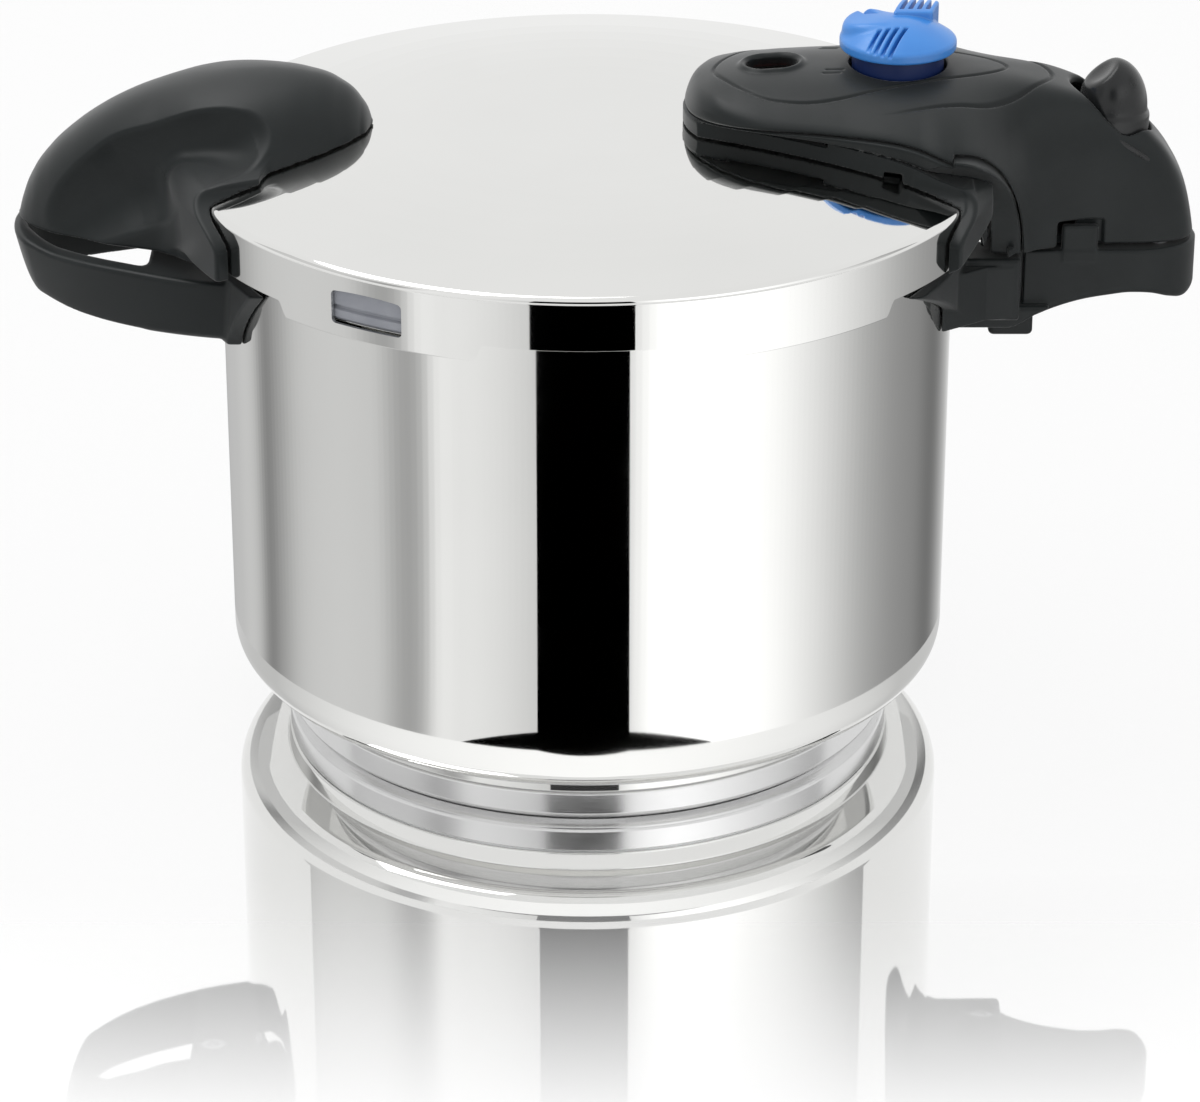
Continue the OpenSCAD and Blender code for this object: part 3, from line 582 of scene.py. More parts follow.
def make_tabs(rows):
    """The six tabs that turn in from the skirt's long stretches."""
    rows = rows[1:-1]
    n, turns = len(rows), 25
    points, faces = [], []
    for lug in range(6):
        first = len(points)
        for k in range(turns):
            a = math.radians(60 * lug - 13.5 + 27 * k / (turns - 1))
            for r, z in rows[:, :2]:
                points.append((r * math.cos(a), r * math.sin(a), z))
        for k in range(turns - 1):
            here, there = first + k * n, first + (k + 1) * n
            for q in range(n):
                p = (q + 1) % n
                faces.append([here + q, there + q, there + p, here + p])
        faces.append([first + q for q in range(n)])
        faces.append([first + (turns - 1) * n + q for q in reversed(range(n))])
    piece = make_mesh("lid_tabs", np.array(points), faces)
    dress(piece, "polished_steel", "lid")


def snap_window(lid):
    """Moves the window's rim on to its outline and walls the sheet's edge."""
    mesh = lid.data
    bm = bmesh.new()
    bm.from_mesh(mesh)
    edge = [v for v in bm.verts if v.is_boundary]
    rim = [v for v in edge if window_gap(math.atan2(v.co.y, v.co.x), v.co.z / MM) < 1.5]
    for v in rim:
        r = math.hypot(v.co.x, v.co.y)
        a, z = math.atan2(v.co.y, v.co.x), v.co.z / MM
        for _ in range(4):
            d = window_gap(a, z)
            e = 0.05
            ga = (window_gap(a + e / LID_R, z) - window_gap(a - e / LID_R, z)) / (2 * e)
            gz = (window_gap(a, z + e) - window_gap(a, z - e)) / (2 * e)
            size = max(ga * ga + gz * gz, 0.2)
            a -= d * ga / size / LID_R
            z -= d * gz / size
        v.co = (r * math.cos(a), r * math.sin(a), z * MM)
    edges = [e for e in bm.edges if e.is_boundary and e.verts[0] in rim and e.verts[1] in rim]
    bmesh.ops.bridge_loops(bm, edges=edges)
    bmesh.ops.recalc_face_normals(bm, faces=bm.faces)
    bm.to_mesh(mesh)
    bm.free()
    mesh.shade_smooth()
    mesh.set_sharp_from_angle(angle=math.radians(40))


def make_gasket():
    """The lipped sealing ring under the lid's rim."""
    low = node_box("sealing_ring")[0][2]
    out, top = node_box("sealing_ring")[1][[0, 2]]
    rows = rounded([
        (110.5, top, 0.8), (110.5, top - 2.2, 0.8), (out - 3, top - 2.2, 1.0), (out - 3, low + 2.0, 1.0),
        (109.5, low + 1.6, 0.6), (109.5, low, 0.6), (out - 1, low, 0.8), (out - 0.1, low + 1.2, 0.5),
        (out - 0.1, low + 3.4, 0.4), (out - 1.1, low + 3.9, 0.3), (out - 1.1, low + 4.6, 0.3),
        (out - 0.1, low + 5.0, 0.4), (out, top - 2, 0.6), (out - 1.6, top, 1.2), (110.5, top, 0.8)])
    rows = rows[1:-1]
    ring = lathe("gasket_ring", rows, 360, closed=True)
    dress(ring, "silicone", "gasket", "sealing_ring")


# -------------------- main handle, upper part

MAIN_TOP = curve([
    (28, 196), (31, 200.4), (36, 203.8), (44, 206), (56, 207.2), (80, 207.7), (100, 207.6), (118, 206.8),
    (130, 205.3), (141, 203), (152, 198.8), (162, 193), (169, 187.9), (175.8, 179.6), (181.6, 168),
    (185, 156)])
MAIN_HALF = curve([
    (28, 34), (50, 35), (66, 36.3), (74, 38), (86, 41.6), (97, 45.6), (105, 49.4), (110, 50.2), (117, 45.6),
    (124.6, 37), (130, 31.5), (136, 27), (143, 22.8), (150, 19.6), (158, 17.2), (166, 16.2), (186, 16)])
LOW_HALF = curve([
    (28, 34), (50, 35), (66, 36.3), (74, 38), (86, 41.6), (97, 45.6), (105, 49.4), (110, 50.2), (117, 44),
    (124.6, 31), (131, 22.2), (135, 19.2), (140, 17.2), (143, 16), (186, 16)])
MAIN_DROP = curve([
    (28, 9), (50, 10), (74, 10.6), (97, 12.6), (111, 16.5), (117, 20.5), (124.6, 30), (132, 45),
    (140, 50), (186, 50)])
MAIN_BEND = curve([
    (28, 2.3), (100, 2.3), (111, 2.2), (117, 2.3), (124.6, 2.9), (129.6, 3.6), (140, 5.2), (150, 6),
    (165, 6),
    (176, 5), (186, 4)])
TRAY_HALF = curve([
    (28, 38), (45, 39), (55, 39.4), (70, 41), (82, 44.4), (97, 50.4), (104, 54.6), (108, 58.4), (112, 66)])
RIDGE_Z = curve([(28, 194.6), (47, 196.8), (74, 197), (97, 195.4), (107, 192.6)])
SWEEP = (107.0, 23.6, PART_Z + 0.6, 40.2)  # centre x, reach, centre z and height of the sweeping edge
STRIP_W = curve([(30, 1.2), (44, 1.2), (60, 1.9), (75, 3.2), (95, 5.2), (107, 6.4), (120, 9), (132, 11)])
SWEEP_HALF = curve([
    (150, 22.6), (160, 23.9), (170, 27.6), (180, 36), (187, 43.5), (192, 49), (198, 54)])
PANEL = spline([
    (38, 0), (40, 7), (45.5, 15.5), (53.5, 22), (64.5, 24.6), (75, 23.4), (87, 19.4), (99.6, 15),
    (114, 9.6),
    (122.5, 4.6), (125.5, 0), (122.5, -4.6), (114, -9.6), (99.6, -15), (87, -19.4), (75, -23.4),
    (64.5, -24.6),
    (53.5, -22), (45.5, -15.5), (40, -7)])
CREASE = spline([
    (139.2, 0), (137, 6.5), (130.5, 13.8), (123, 20), (114.6, 25), (99, 29), (86, 31.5), (70, 29), (60, 0),
    (70, -29), (86, -31.5), (99, -29), (114.6, -25), (123, -20), (130.5, -13.8), (137, -6.5)])


def main_plan(x, y, half, inset=0.0, nose=37.4):
    """Distance-like field of the main handle's outline in plan, for a given half width."""
    half = half - inset
    near = np.maximum(28.6 + nose - x, 0) / (nose - inset)
    far = np.maximum(x - (MAIN_END - 20), 0) / (20 - inset)
    size = np.sqrt(near**2 + (y / half) ** 2 + far**2)
    slope = 1 + 0.6 * ramp(x, 108, 118) * (1 - ramp(x, 130, 140))
    return (size - 1) * np.minimum(half, 34) / slope


def main_crown(x, y):
    """Height of the upper handle's surface."""
    share = np.minimum(np.abs(y) / MAIN_HALF(x), 1.25)
    return MAIN_TOP(x) - MAIN_DROP(x) * share ** MAIN_BEND(x)


def main_steep(x, y):
    """How steep that surface is, for turning heights into distances."""
    share = np.minimum(np.abs(y) / MAIN_HALF(x), 1.25)
    across = MAIN_DROP(x) * MAIN_BEND(x) / MAIN_HALF(x) * share ** (MAIN_BEND(x) - 1)
    along = 0.25 + 1.9 * ramp(x, 150, 186) + 1.5 * (1 - ramp(x, 27, 36))
    return np.sqrt(1 + across**2 + along**2)


PIN_SLOT = (PIN_X + 0.3, 1.9, 5.8)  # middle, half length and radius of the indicator's window


def hollowed(distance, width):
    """Profile of a soft groove: 1 on the line, falling to 0 beside it."""
    return np.exp(-((distance / width) ** 2))


MARKS_X = 73.3  # the two pairs of short marks beside the selector
MARKS_Y = (-8.0, 15.5)


def engraving(x, y):
    """How far lines, marks and the window's rim lower or raise the top surface."""
    depth = 0.55 * hollowed(line_gap(x, y, PANEL), 0.5)
    depth += 0.75 * ramp(x, 84, 112) * hollowed(line_gap(x, y, CREASE), 0.55)
    for cy in MARKS_Y:
        for k in (-1.2, 1.2):
            along = np.maximum(np.abs(x - MARKS_X - 0.4 * k) - 2.4, 0)
            depth += 0.4 * hollowed(np.hypot(along, y - cy - k), 0.45)
    return depth - 0.95 * hollowed(stadium(x, y, *PIN_SLOT) - 1.35, 1.0)


def sweep_gap(x, z):
    """Positive above the shell's lower edge: level over the lid, then sweeping down to the parting."""
    cx, rx, cz, rz = SWEEP
    inside = np.maximum(x - cx, 0)
    bend = (np.hypot(inside / rx, np.maximum(z - cz, 0) / rz) - 1) * rx
    level = z - RIDGE_Z(np.minimum(x, cx))
    return np.where(x > cx, bend, level)


def shell_half(x, z):
    """Half width of the upper handle: it narrows towards the parting beyond the lid's edge."""
    return LOW_HALF(x) + (MAIN_HALF(x) - LOW_HALF(x)) * ramp(z, 158, 188) + 0.3


def main_shell(x, y, z):
    """The upper handle: a thin moulding with a well, a window, an opening and a notch."""
    side = main_plan(x, y, shell_half(x, z))
    above = z - main_crown(x, y)
    solid = both(side, above / main_steep(x, y), 4 + 2 * ramp(x, 118, 140))
    f = np.maximum(solid, -(solid + 2.8))
    f = f + np.where(above > -4, engraving(x, y), 0)
    f = cut(f, both(stadium(x, y, *PIN_SLOT), -(above + 9), 0.2), 0.7)
    well = np.hypot(x - VALVE_X, y)
    f = cut(f, both(well - 14.7, 192 - z, 0.2), 0.8)
    opening = stadium(x, y, BUTTON_X - 0.5, 1.2, 11.2)
    f = cut(f, both(opening, -(above + 6), 0.2), 1.2)
    f = both(f, -sweep_gap(x, z), 1.3)
    f = both(f, PART_Z + 0.7 - z, 1.0)
    notch = block(x, y, z, (141.3, -40, 130), (155.4, -13.0, PART_Z + 8.9), 0.8)
    return cut(f, notch, 1.0)


def make_main_shell():
    low, high = node_box("lid_handle_shell")
    grow = np.array([2, 6, 1])
    piece = surface("main_handle_shell", main_shell, low - grow, high + grow, 0.5)
    dress(piece, "phenolic", "lid", "lid_handle_shell")


def lid_gap(x, y, z):
    """Distance above the lid's outer surface, round its shoulder and out from its skirt."""
    r = np.hypot(x, y)
    top = z - lid_top(r)
    side = r - LID_R
    corner = np.hypot(np.maximum(r - DOME_R, 0), np.maximum(z - LID_Z, 0)) - SHOULDER
    return np.where(r < DOME_R, top, np.where(z > LID_Z, corner, side))


def degrees_off(x, y):
    """Angle in degrees from the handles' line."""
    return np.degrees(np.arctan2(np.abs(y), x))


# Seats of the operating valve, the safety valve and the indicator: x, radius, top and bore
SEATS = ((VALVE_X, 12.5, 191.5, 7.3), (73, 9, 192.4, 5.3), (PIN_X, 8, 193.6, 4.8))
PER_DEGREE = 1.9  # millimetres along the lid's edge for each degree


def main_tray(x, y, z):
    """What the upper handle stands on: plate, rim, band, strip, block and seats."""
    over = lid_gap(x, y, z)
    half = TRAY_HALF(x)
    off = degrees_off(x, y)
    sweep = sweep_gap(x, z)
    width = STRIP_W(np.where(x > 107, 107 + (192.6 - z) * 0.6, x))
    # plate on the lid with a high rim, ending in a band round the lid's edge
    tall = np.clip(over / np.maximum(over - sweep - width, 3), 0, 1)
    outer = main_plan(x, y, half + (MAIN_HALF(x) + 0.1 - half) * tall ** 0.7, 0.2, 50 - 12 * tall)
    rim = both(np.maximum(outer, -outer - 5), sweep + width + 0.4, 0.9)
    plate = np.minimum(rim, both(outer, over - 5.2, 0.6))
    limit = 31.2 - 6.5 * ramp(z, 173, 185)
    plate = both(plate, np.maximum(np.maximum(x - 113, 174 - z), (off - limit) * PER_DEGREE), 0.4)
    band = both(over - 4.6, (off - limit) * PER_DEGREE, 1.4)
    band = both(band, 164.4 + 0.7 * (x - 105) - z, 1.0)
    band = both(band, np.maximum(x - 119.5, 96 - x), 0.8)
    f = join(plate, band, 1.2)
    # strip set back under the shell's edge, and the block outside the rim
    under = np.clip(-sweep / width, 0, 1)
    strip_half = np.minimum(shell_half(x, z), SWEEP_HALF(z)) - 0.8 - 1.6 * under
    strip = both(main_plan(x, y, strip_half), np.maximum(sweep + 0.5, -sweep - width), 0.9)
    strip = both(strip, PART_Z + 0.6 - z, 0.7)
    f = np.minimum(f, strip)
    core_half = np.minimum(np.interp(x, [100, 112, 119, 131], [42, 38, 30, 20.5]), SWEEP_HALF(z) - 3)
    core = both(np.abs(y) - core_half, np.maximum(sweep + 2, PART_Z + 0.6 - z), 0.7)
    core = both(core, 108 - x, 0.3)
    f = np.minimum(f, core)
    # floor of the grip, with a plate that closes the button's opening
    grip = both(main_plan(x, y, LOW_HALF(x), 3.4), np.maximum(z - PART_Z - 3.2, PART_Z + 0.7 - z), 0.4)
    f = np.minimum(f, both(grip, 126 - x, 0.2))
    for cx, rad, top, _ in SEATS:
        f = np.minimum(f, np.maximum(np.hypot(x - cx, y) - rad, np.maximum(z - top, 186 - z)))
    f = np.maximum(f, 0.5 - over)
    for cx, _, _, bore in SEATS:
        f = np.maximum(f, bore - np.hypot(x - cx, y))
    tongue = block(x, y, z, (149, -5, 148), (161, 5, 158), 0.3)
    f = np.maximum(f, -tongue)
    # steam outlet under the near edge
    outlet = block(x, y, z, (87.2, -62, 176), (92.6, -36, 187.6), 0.8)
    return cut(f, outlet, 0.6)


def make_main_tray():
    low, high = node_box("lid_handle_tray")
    piece = surface("main_handle_tray", main_tray, low - [1, 2, 1], high + [1, 2, 12], 0.55)
    dress(piece, "phenolic", "lid", "lid_handle_tray")


# -------------------- main handle, lower part

UNDER = curve([
    (124, 129), (134, 130.4), (140, 133.2), (149.5, 136.4), (157.4, 137.9), (165, 138.8), (171, 138.2),
    (176.6, 136.2), (181.4, 134.8), (186, 136.2)])


def wall_band(x, y, z, z0, z1, low_w, top_w):
    """The curved flange that a lower handle lays on the pot's wall."""
    r = np.hypot(x, y)
    shell = np.maximum(r - POT_R - 4.3, POT_R + 0.3 - r)
    half = low_w + (top_w - low_w) * np.clip((z - z0) / (z1 - z0), 0, 1) ** 1.3
    edge = (np.abs(y) - half) * 0.8
    f = both(both(shell, edge, 0.8), np.maximum(z - z1, z0 - z), 0.8)
    return np.maximum(f, -x)


def pot_grip(x, y, z):
    """The pot's half of the main grip: root, grip, stop key and the screw's tab."""
    top = PART_Z - 0.6
    r = np.hypot(x, y)
    grip = main_plan(x, y, 16.0 + 0 * x)
    grip = both(grip, z - top, 1.0)
    grip = both(grip, (UNDER(x) - z) * 0.95, 3.0)
    grip = both(grip, 129 - x, 0.5)
    root = block(x, y, z, (104, -23.4, 133.2), (130.4, 23.4, top), 1.2)
    width = np.interp(x, [106, 112, 120, 130], [34, 30, 24.4, 23.2])
    cheek = both(np.abs(y) - width, np.abs(z - 142.4) - 8.7, 1.0)
    cheek = both(cheek, np.maximum(x - 130.4, 106 - x), 1.2)
    f = join(np.minimum(root, cheek), wall_band(x, y, z, 133.4, 156, 24, 61), 1.5)
    f = join(f, grip, 0.6)
    # groove between the root and the grip
    groove = np.maximum(np.abs(x - 131) - 0.7, 14.6 - np.abs(y))
    f = cut(f, both(groove, z - top - 3, 0.2), 0.5)
    key = block(x, y, z, (142.9, -16, top - 4), (153.8, -13.2, PART_Z + 7.4), 0.9)
    key = np.maximum(key, np.hypot(np.maximum(x - 165, 0), y) - 16)
    f = join(f, key, 0.7)
    # web, screw boss and tab under the root
    web = block(x, y, z, (105, -19, 128.6), (140, 19, 136), 1.4)
    web = both(web, 128.6 + 6.5 * ramp(x, 126, 141) - z, 1.2)
    tab = block(x, y, z, (122.5, -8, 122), (136, 8, 134), 1.6)
    under = join(web, tab, 1.2)
    f = join(f, under, 0.7)
    f = np.maximum(f, POT_R + 0.3 - r)
    f = cut(f, both(np.hypot(x - 129.6, y) - 4.6, z - 127, 0.2), 0.5)
    slot = block(x, y, z, (152, -4.8, 146), (160, 4.8, 170), 0.4)
    return np.maximum(f, -slot)


def make_pot_grip():
    low, high = node_box("pot_main_handle")
    piece = surface("pot_grip", pot_grip, low - [4, 2, 5], high + [1, 2, 2], 0.6)
    dress(piece, "phenolic", "pot", "pot_main_handle")


# -------------------- helper cover and loop

COVER_TOP = curve([
    (64.6, 189), (65.6, 192), (68, 196.2), (75, 202), (84, 204.8), (94, 205.8), (105, 205.5), (121, 202.8),
    (137, 197.6), (146, 193), (154, 187.6), (162, 180.4), (167, 173.8), (170, 167.5), (172, 160.6),
    (173, 155)])
COVER_HALF = curve([
    (60, 0.5), (64.6, 2.4), (65.6, 7.4), (68, 12), (73.5, 19.4), (84.8, 29.2), (96.2, 36.5), (104.7, 41.1),
    (112, 43.4), (117, 41.6), (122, 37), (127, 33.2), (134, 30.4), (142, 27.8), (150, 24.6), (158, 19.8),
    (164, 15), (168, 10.8), (171, 6), (172.6, 2.4)])
# Axis of the finger scoop beside the cover: three points, each with the scoop's radius there
SCOOP = ((103, 37.6, 203.4, 16), (140, 39.0, 185.5, 22.5), (168, 36, 166, 20))


def bar(x, y, z, a, b):
    """Distance to a round bar from a to b; each end has a place and a radius."""
    a, b = np.array(a, float), np.array(b, float)
    d = b - a
    t = ((x - a[0]) * d[0] + (y - a[1]) * d[1] + (z - a[2]) * d[2]) / (d[:3] @ d[:3])
    t = np.clip(t, 0, 1)
    gap = np.sqrt((x - a[0] - t * d[0]) ** 2 + (y - a[1] - t * d[1]) ** 2 + (z - a[2] - t * d[2]) ** 2)
    return gap - a[3] - t * d[3]


def helper_cover(x, y, z):
    """The lid's helper handle: a hollow cover with scooped flanks and wings round the rim."""
    x = -x
    r = np.hypot(x, y)
    over = lid_gap(x, y, z)
    half = np.maximum(COVER_HALF(x), 1.5)
    out = ramp(x, 106, 126)
    foot = (lid_top(np.minimum(r, 120)) - 0.5) * (1 - out) + (PART_Z + 4.5) * out
    rise = np.maximum(COVER_TOP(x) - foot, 2)
    v = np.maximum(z - foot, 0) / rise
    power = 1.75 + 0.45 * out
    lift = 1.45 + 0.7 * out
    size = ((np.abs(y) / half) ** power + v**lift) ** (1 / 1.75)
    f = (size - 1) * np.minimum(half, rise) * 0.8
    f = np.maximum(f, np.maximum(x - 172.4, 64.5 - x))
    # finger scoops on both sides of the grip
    scoop = join(bar(x, np.abs(y), z, SCOOP[0], SCOOP[1]), bar(x, np.abs(y), z, SCOOP[1], SCOOP[2]), 2)
    f = cut(f, scoop, 1.2)
    # wings round the rim
    off = degrees_off(x, y)
    limit = 32.2 - 8.5 * ramp(z, 172, 185)
    band = both(over - 4.5, (off - limit) * PER_DEGREE, 1.4)
    band = both(band, np.maximum(163.5 - z, z - 186), 1.0)
    band = both(band, 96 - x, 0.5)
    root = both(np.abs(y) - 26 - 0.9 * (124 - x), np.maximum(x - 125, z - 179), 4)
    root = both(root, np.maximum(PART_Z + 6.2 - z, 112 - x), 1.0)
    f = join(f, np.minimum(band, root), 4.0)
    pillar = both(np.hypot(x - 138, y) - 5, 172.4 - z, 0.2)
    wall = np.maximum(f, -(f + 2.9))
    f = np.minimum(wall, np.maximum(pillar, f))
    f = both(f, PART_Z + 5.6 - z, 1.2)
    return np.maximum(f, 0.5 - over)


def make_helper_cover():
    low, high = node_box("lid_helper_cover")
    piece = surface("helper_cover", helper_cover, low - [0.5, 4, 1], high + [1, 4, 1])
    dress(piece, "phenolic", "lid", "lid_helper_cover")


def helper_outline(x, y, end, half, power, start):
    """Superellipse that comes to a blunt point at the handle's end."""
    a = np.clip((x - start) / (end - start), 0, 2)
    size = (a**power + (np.abs(y) / half) ** power) ** (1 / power)
    return (size - 1) * min(half, end - start) * 0.72


def helper_loop(x, y, z):
    """The pot's helper handle, a flat loop round a finger opening."""
    x = -x
    r = np.hypot(x, y)
    outer = helper_outline(x, y, 177.5, 46.5, 1.62, 99) + 0.16 * (152 - z)
    outer = both(outer, x - 174.6 + 0.14 * (152 - z), 7)
    top = PART_Z + 1.6 + 2.6 * ramp(x, 158, 175) - ramp(x, 140, 112)
    f = both(outer, z - top, 1.8)
    f = both(f, 134.2 - z, 2.6)
    inner = helper_outline(x, y, 170.2, 39.6, 1.66, 97) - 0.02 * (150 - z)
    opening = both(inner, 131 - x, 4.0)
    f = cut(f, opening, 1.6)
    f = join(f, wall_band(x, y, z, 133.6, 156, 43, 60), 1.5)
    f = np.maximum(f, POT_R + 0.3 - r)
    return cut(f, both(np.hypot(x - 124, y) - 4.6, z - 138.5, 0.2), 0.5)


def make_helper_loop():
    low, high = node_box("pot_helper_handle")
    piece = surface("helper_loop", helper_loop, low - [0.3, 4, 1], high + [2, 4, 2])
    dress(piece, "phenolic", "pot", "pot_helper_handle")


# -------------------- selector and lock button

KNOB_R = 17.4
FIN_PITCH = 2.6  # from fin to fin
FIN_GAP = 0.62  # half width of the slits between them


def slits(across):
    """Distance to the slits between fins, which repeat across."""
    return np.abs((across + 10 * FIN_PITCH) % FIN_PITCH - FIN_PITCH / 2) - FIN_GAP


def comb(x, y, z):
    """The raised block at the back of the selector, with four slanted fins."""
    lean = x - 6.4 - 0.28 * (y - 10)
    body = both(np.abs(lean) - 5.9, np.abs(y - 9.2) - 7.2, 1.0)
    body = both(body, np.maximum(z - 222.8 + 0.012 * (y - 8) ** 2, 213 - z), 0.8)
    body = both(body, np.hypot(x, y) - 17.1, 0.5)
    gap = np.maximum(slits(lean), np.abs(lean) - 4.6)
    return cut(body, both(gap, np.maximum(4.5 - y, 215.4 - z), 0.3), 0.4)


def selector(x, y, z):
    """The selector: a domed disc with a notched lobe, a block of fins and front cuts."""
    x = x - VALVE_X
    r = np.hypot(x, y)
    top = 215.2 + 6.2 * (1 - np.minimum(r / KNOB_R, 1) ** 2.1)
    disc = both(r - KNOB_R, np.maximum(z - top, 212.3 - z), 0.8)
    lobe = both(np.hypot(x + 8.6, y - 3) - 8.6, z - 220.8 + 0.025 * (x + 8) ** 2, 2.4)
    lobe = np.maximum(lobe, 213.3 - z)
    f = join(disc, both(lobe, r - 17.2, 0.8), 1.6)
    f = join(f, comb(x, y, z), 0.6)
    # four slanted cuts in the front
    lean = x + 7.0 - 0.52 * (y + 16)
    cuts = np.maximum(slits(lean), np.abs(lean) - 5.2)
    f = cut(f, both(cuts, np.maximum(y + 6.4, 214.7 + 0.3 * (y + 16) - z), 0.3), 0.5)
    notch = np.maximum(np.abs(x + 8.2 + 0.5 * (y - 6)) * 0.8 - (z - 217.8) * 0.55, 5.5 - y)
    return cut(f, notch, 0.4)


def collar(x, y, z):
    """The ring under the selector, bored for the valve, in a darker blue that is painted shade."""
    r = np.hypot(x - VALVE_X, y)
    f = both(r - 13.8, np.maximum(z - 212.4, 203.4 - z), 0.5)
    f = np.minimum(f, both(r - 10.5, np.maximum(z - 204.5, 196 - z), 0.4))
    return np.maximum(f, np.minimum(7.05 - r, 203.6 - z))


def make_selector():
    """The selector and its collar, which turn together."""
    low, high = node_box("selector_knob")
    knob = surface("selector_top", selector, low - 1, high + 1, 0.35)
    dress(knob, "selector_blue", "selector", "selector_knob")
    low, high = node_box("selector_sleeve")
    piece = surface("selector_collar", collar, low - 1, high + 1, 0.5)
    # the collar's darker blue is painted shade from the knob above it
    dress(piece, "selector_dark", "selector", "selector_sleeve")


def button(x, y, z):
    """The lock's button: an egg with a thumb hollow in front, on its slide."""
    egg = (np.sqrt(((x - 158.0) / 10.3) ** 2 + (y / 11.2) ** 2 + ((z - 193.6) / 14.8) ** 2) - 1) * 11
    foot = both(stadium(x, y, BUTTON_X + 0.6, 0, 10.6), np.maximum(z - 192, 182 - z), 1.2)
    f = join(egg, foot, 2.0)
    thumb = np.sqrt((x - 145.5) ** 2 + (0.85 * (y + 1.5)) ** 2 + (z - 215.5) ** 2) - 14.6
    f = cut(f, thumb, 1.4)
    f = both(f, 182.0 - z, 0.4)
    # the slide's plate, just under the upper handle's surface
    plate = both(stadium(x, y, BUTTON_X + 0.5, 5.5, 12.4), np.abs(z - MAIN_TOP(x) + 8.2) - 0.8, 0.3)
    return np.minimum(f, plate)


def make_button():
    low, high = node_box("lock_button")
    piece = surface("lock_thumb_button", button, low - 3, high + 3, 0.5)
    dress(piece, "button_black", "lock", "lock_button")


# -------------------- floor, lights, camera

# How the floor's mirror finish runs: (share at the front, share at the back), (front y, back y) in metres
FLOOR_SHINE = ((0.04, 0.92), (-0.26, -0.125))
FLOOR_HALF = 8000.0


def make_floor():
    """A pale polished floor, whose mirror finish fades out towards the front."""
    corners = [(u * FLOOR_HALF, v * FLOOR_HALF, 0) for u, v in ((-1, -1), (1, -1), (1, 1), (-1, 1))]
    floor = make_mesh("floor", np.array(corners), [[0, 1, 2, 3]])
    m, nodes, links, shader = new_material("floor")
    place = object_place(nodes)
    pale = tint(nodes, links, noise(nodes, links, place, 2), (0.84, 0.84, 0.84), (0.87, 0.87, 0.87))
    links.new(pale, shader.inputs["Base Color"])
    shader.inputs["Roughness"].default_value = 0.5
    split = add(nodes, "ShaderNodeSeparateXYZ")
    links.new(place, split.inputs["Vector"])
    mirror = add(nodes, "ShaderNodeBsdfGlossy", Color=(0.97, 0.97, 0.97, 1))
    links.new(spread(nodes, links, noise(nodes, links, place, 14), 0.012, 0.03), mirror.inputs["Roughness"])
    mix = add(nodes, "ShaderNodeMixShader")
    links.new(spread(nodes, links, split.outputs["Y"], *FLOOR_SHINE[0], *FLOOR_SHINE[1]), mix.inputs["Fac"])
    links.new(shader.outputs["BSDF"], mix.inputs[1])
    links.new(mirror.outputs["BSDF"], mix.inputs[2])
    links.new(mix.outputs["Shader"], nodes["Material Output"].inputs["Surface"])
    floor.data.materials.append(m)


# Brightness of the painted reflection on the pot's wall, made by glowing cards seen only in reflections, by
# angle round the pot from its front
CARDS_LEFT = curve([
    (-90, 0.42), (-76, 0.60), (-66, 0.62), (-61, 0.30), (-57.5, 0.42), (-52, 0.66), (-44, 0.76),
    (-36, 0.74),
    (-26, 0.68), (-24.5, 0.95), (-20, 1.02), (-14, 0.95), (-7.75, 0.78)])
CARDS_RIGHT = curve([
    (6.6, 1.0), (9, 1.3), (29, 1.32), (36, 1.05), (42, 0.80), (48, 0.56), (54, 0.41), (63, 0.30),
    (72, 0.22),
    (78, 0.45), (84, 0.7), (90, 0.8)])
STRIP = (-7.75, 6.6)  # angles between which the wall reflects black card, a painted black reflection
CARD_START = 8  # distances from the wall, along the reflected direction
CARD_NEAR = 60
CARD_FAR = 900
LENS = (14, 20)  # extra black card on the floor in front, a painted dark reflection, and the angle where it ends
LOW_TOP = 415  # height of the upright cards
HIGH_TOP = 900  # height of the front ones, up to the angle HIGH_END
HIGH_END = 52


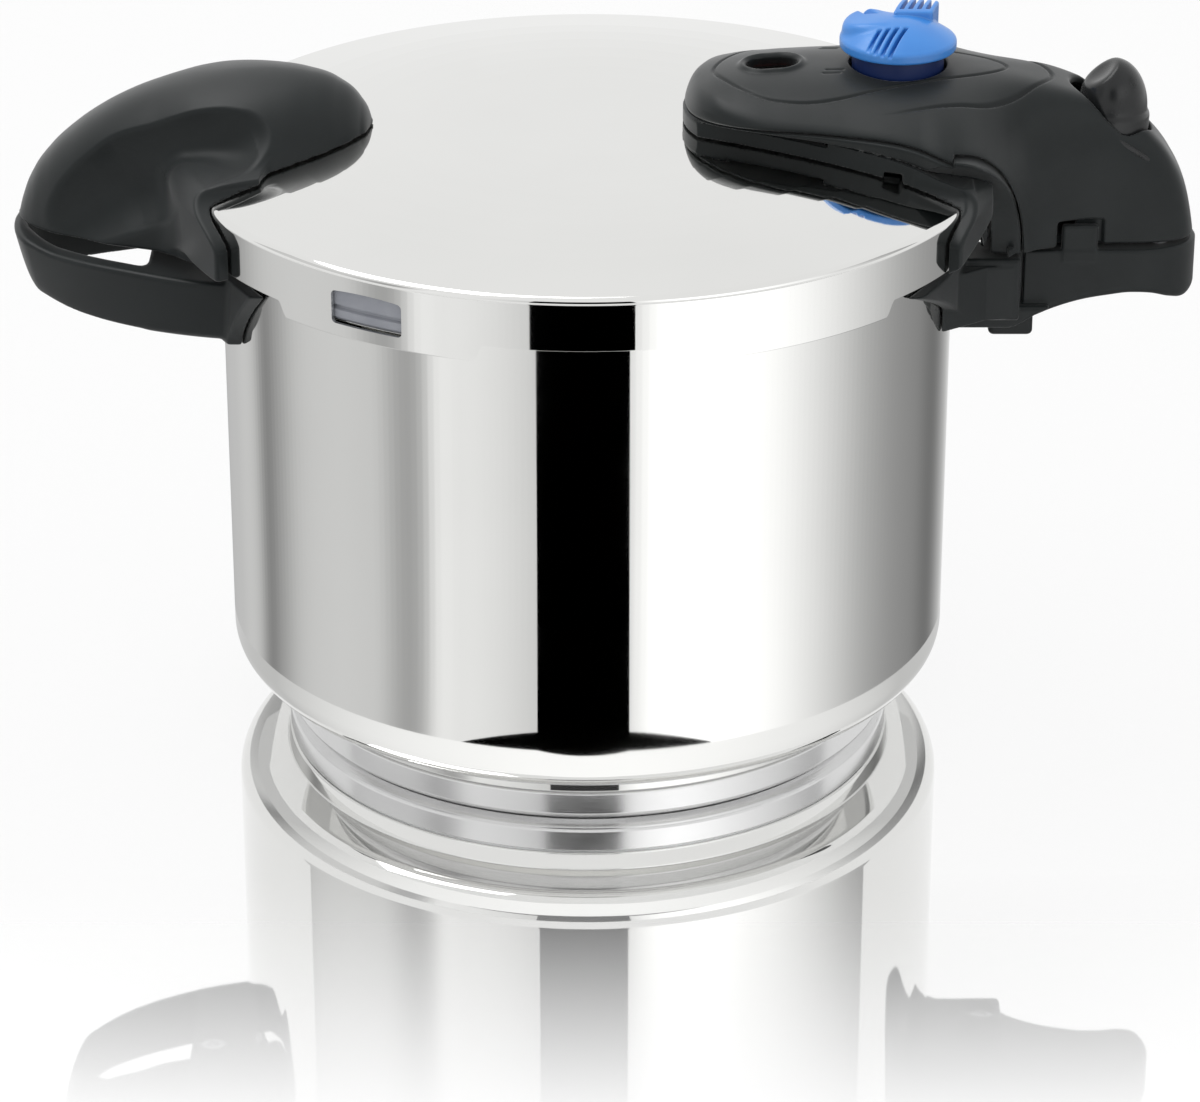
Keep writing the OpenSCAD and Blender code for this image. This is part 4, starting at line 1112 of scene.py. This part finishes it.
def make_cards():
    """A fan of glowing cards on the floor, which lie where the pot's wall reflects them in upright bands: a
    painted reflection, seen only in glossy rays.
    """
    left, right = STRIP
    dark = [left, left + 0.03, right - 0.03]
    angles = np.concatenate([np.arange(-89, left, 1), dark, np.arange(right, 89.5, 1)])
    levels = np.where(angles >= right, CARDS_RIGHT(angles), 0.0)
    levels = np.where(angles <= left, CARDS_LEFT(angles), levels)
    points, faces = [], []
    for k, a in enumerate(np.radians(angles)):
        wall = np.array([math.sin(a), -math.cos(a)]) * POT_R
        away = np.array([math.sin(2 * a), -math.cos(2 * a)])
        first = wall + away * CARD_START
        near = wall + away * CARD_NEAR
        band = wall + away * (CARD_NEAR + LENS[0] * max(1 - (a / math.radians(LENS[1])) ** 2, 0))
        far = wall + away * CARD_FAR
        points += [(*first, 1), (*near, 1), (*near, 1), (*band, 1), (*band, 1), (*far, 1)]
        points += [(*far, LOW_TOP), (*far, HIGH_TOP)]
        rows = [0, 4]
        rows += [2] if abs(a) < math.radians(LENS[1]) else []
        rows += [6] if abs(a) < math.radians(HIGH_END) else []
        for i in rows if k else ():
            faces.append([8 * k - 8 + i, 8 * k - 7 + i, 8 * k + 1 + i, 8 * k + i])
    fan = make_mesh("painted_reflection_cards", np.array(points), faces)
    shade = fan.data.color_attributes.new("level", "FLOAT_COLOR", "POINT")
    for k, level in enumerate(levels):
        painted_bright_band = 1.3 - 0.65 * min(abs(angles[k]) / 60, 1) ** 2  # the card next to the wall, a painted bright reflection
        # bright card by the wall, then the black band, then the card levels: all of it painted reflection
        for v, tone in enumerate((painted_bright_band, painted_bright_band, 0, 0, level, level, level, level)):
            shade.data[8 * k + v].color = (tone, tone, tone, 1)
    m, nodes, links, _ = new_material("card")
    painted_reflection_glow = add(nodes, "ShaderNodeEmission")
    level = add(nodes, "ShaderNodeAttribute", attribute_name="level")
    links.new(level.outputs["Color"], painted_reflection_glow.inputs["Color"])
    clear = add(nodes, "ShaderNodeBsdfTransparent")
    side = add(nodes, "ShaderNodeNewGeometry")
    mix = add(nodes, "ShaderNodeMixShader")
    links.new(side.outputs["Backfacing"], mix.inputs["Fac"])
    links.new(painted_reflection_glow.outputs["Emission"], mix.inputs[1])
    links.new(clear.outputs["BSDF"], mix.inputs[2])
    links.new(mix.outputs["Shader"], nodes["Material Output"].inputs["Surface"])
    fan.data.materials.append(m)
    # The cards glow only in reflections. They light nothing and cast no shadow, so their glow is a painted
    # reflection.
    fan.visible_camera = False
    fan.visible_diffuse = False
    fan.visible_shadow = False


def softbox(name, place, aim, size, power):
    """A rectangular lamp at place that shines towards aim."""
    light = bpy.data.lights.new(name, "AREA")
    light.shape = "RECTANGLE"
    light.size, light.size_y = size
    light.energy = power
    lamp = bpy.data.objects.new(name, light)
    lamp.location = place
    lamp.rotation_euler = (Vector(aim) - Vector(place)).to_track_quat("-Z", "Y").to_euler()
    bpy.context.scene.collection.objects.link(lamp)
    return lamp


def make_lights():
    """White surroundings and one soft light from above."""
    world = bpy.data.worlds.new("studio")
    world.use_nodes = True
    world.node_tree.nodes["Background"].inputs["Color"].default_value = (1, 1, 1, 1)
    world.node_tree.nodes["Background"].inputs["Strength"].default_value = 1.0
    bpy.context.scene.world = world
    softbox("key", (-0.5, 0.3, 1.5), (0, 0, 0.15), (1.2, 0.8), 9)


CAMERA_PLACE = (0.0039, -1.31857, 0.67451)  # metres
CAMERA_DOWN = 25.51  # degrees below the horizontal
CAMERA_LENS = 139.5  # on a sensor 36 wide


def make_camera():
    """The photographer's camera, in front of the cooker and above it."""
    camera = bpy.data.objects.new("camera", bpy.data.cameras.new("camera"))
    bpy.context.scene.collection.objects.link(camera)
    camera.data.sensor_width = 36
    camera.data.lens = CAMERA_LENS
    camera.location = CAMERA_PLACE
    camera.rotation_euler = (math.radians(90 - CAMERA_DOWN), 0, 0)
    camera.data.clip_start = 0.05
    bpy.context.scene.camera = camera


make_camera()
bpy.context.scene.view_settings.view_transform = "Standard"
dress_cad_nodes()
make_pot()
make_base()
make_lid()
make_gasket()
make_main_shell()
make_main_tray()
make_pot_grip()
make_helper_cover()
make_helper_loop()
make_selector()
make_button()
make_floor()
make_cards()
make_lights()
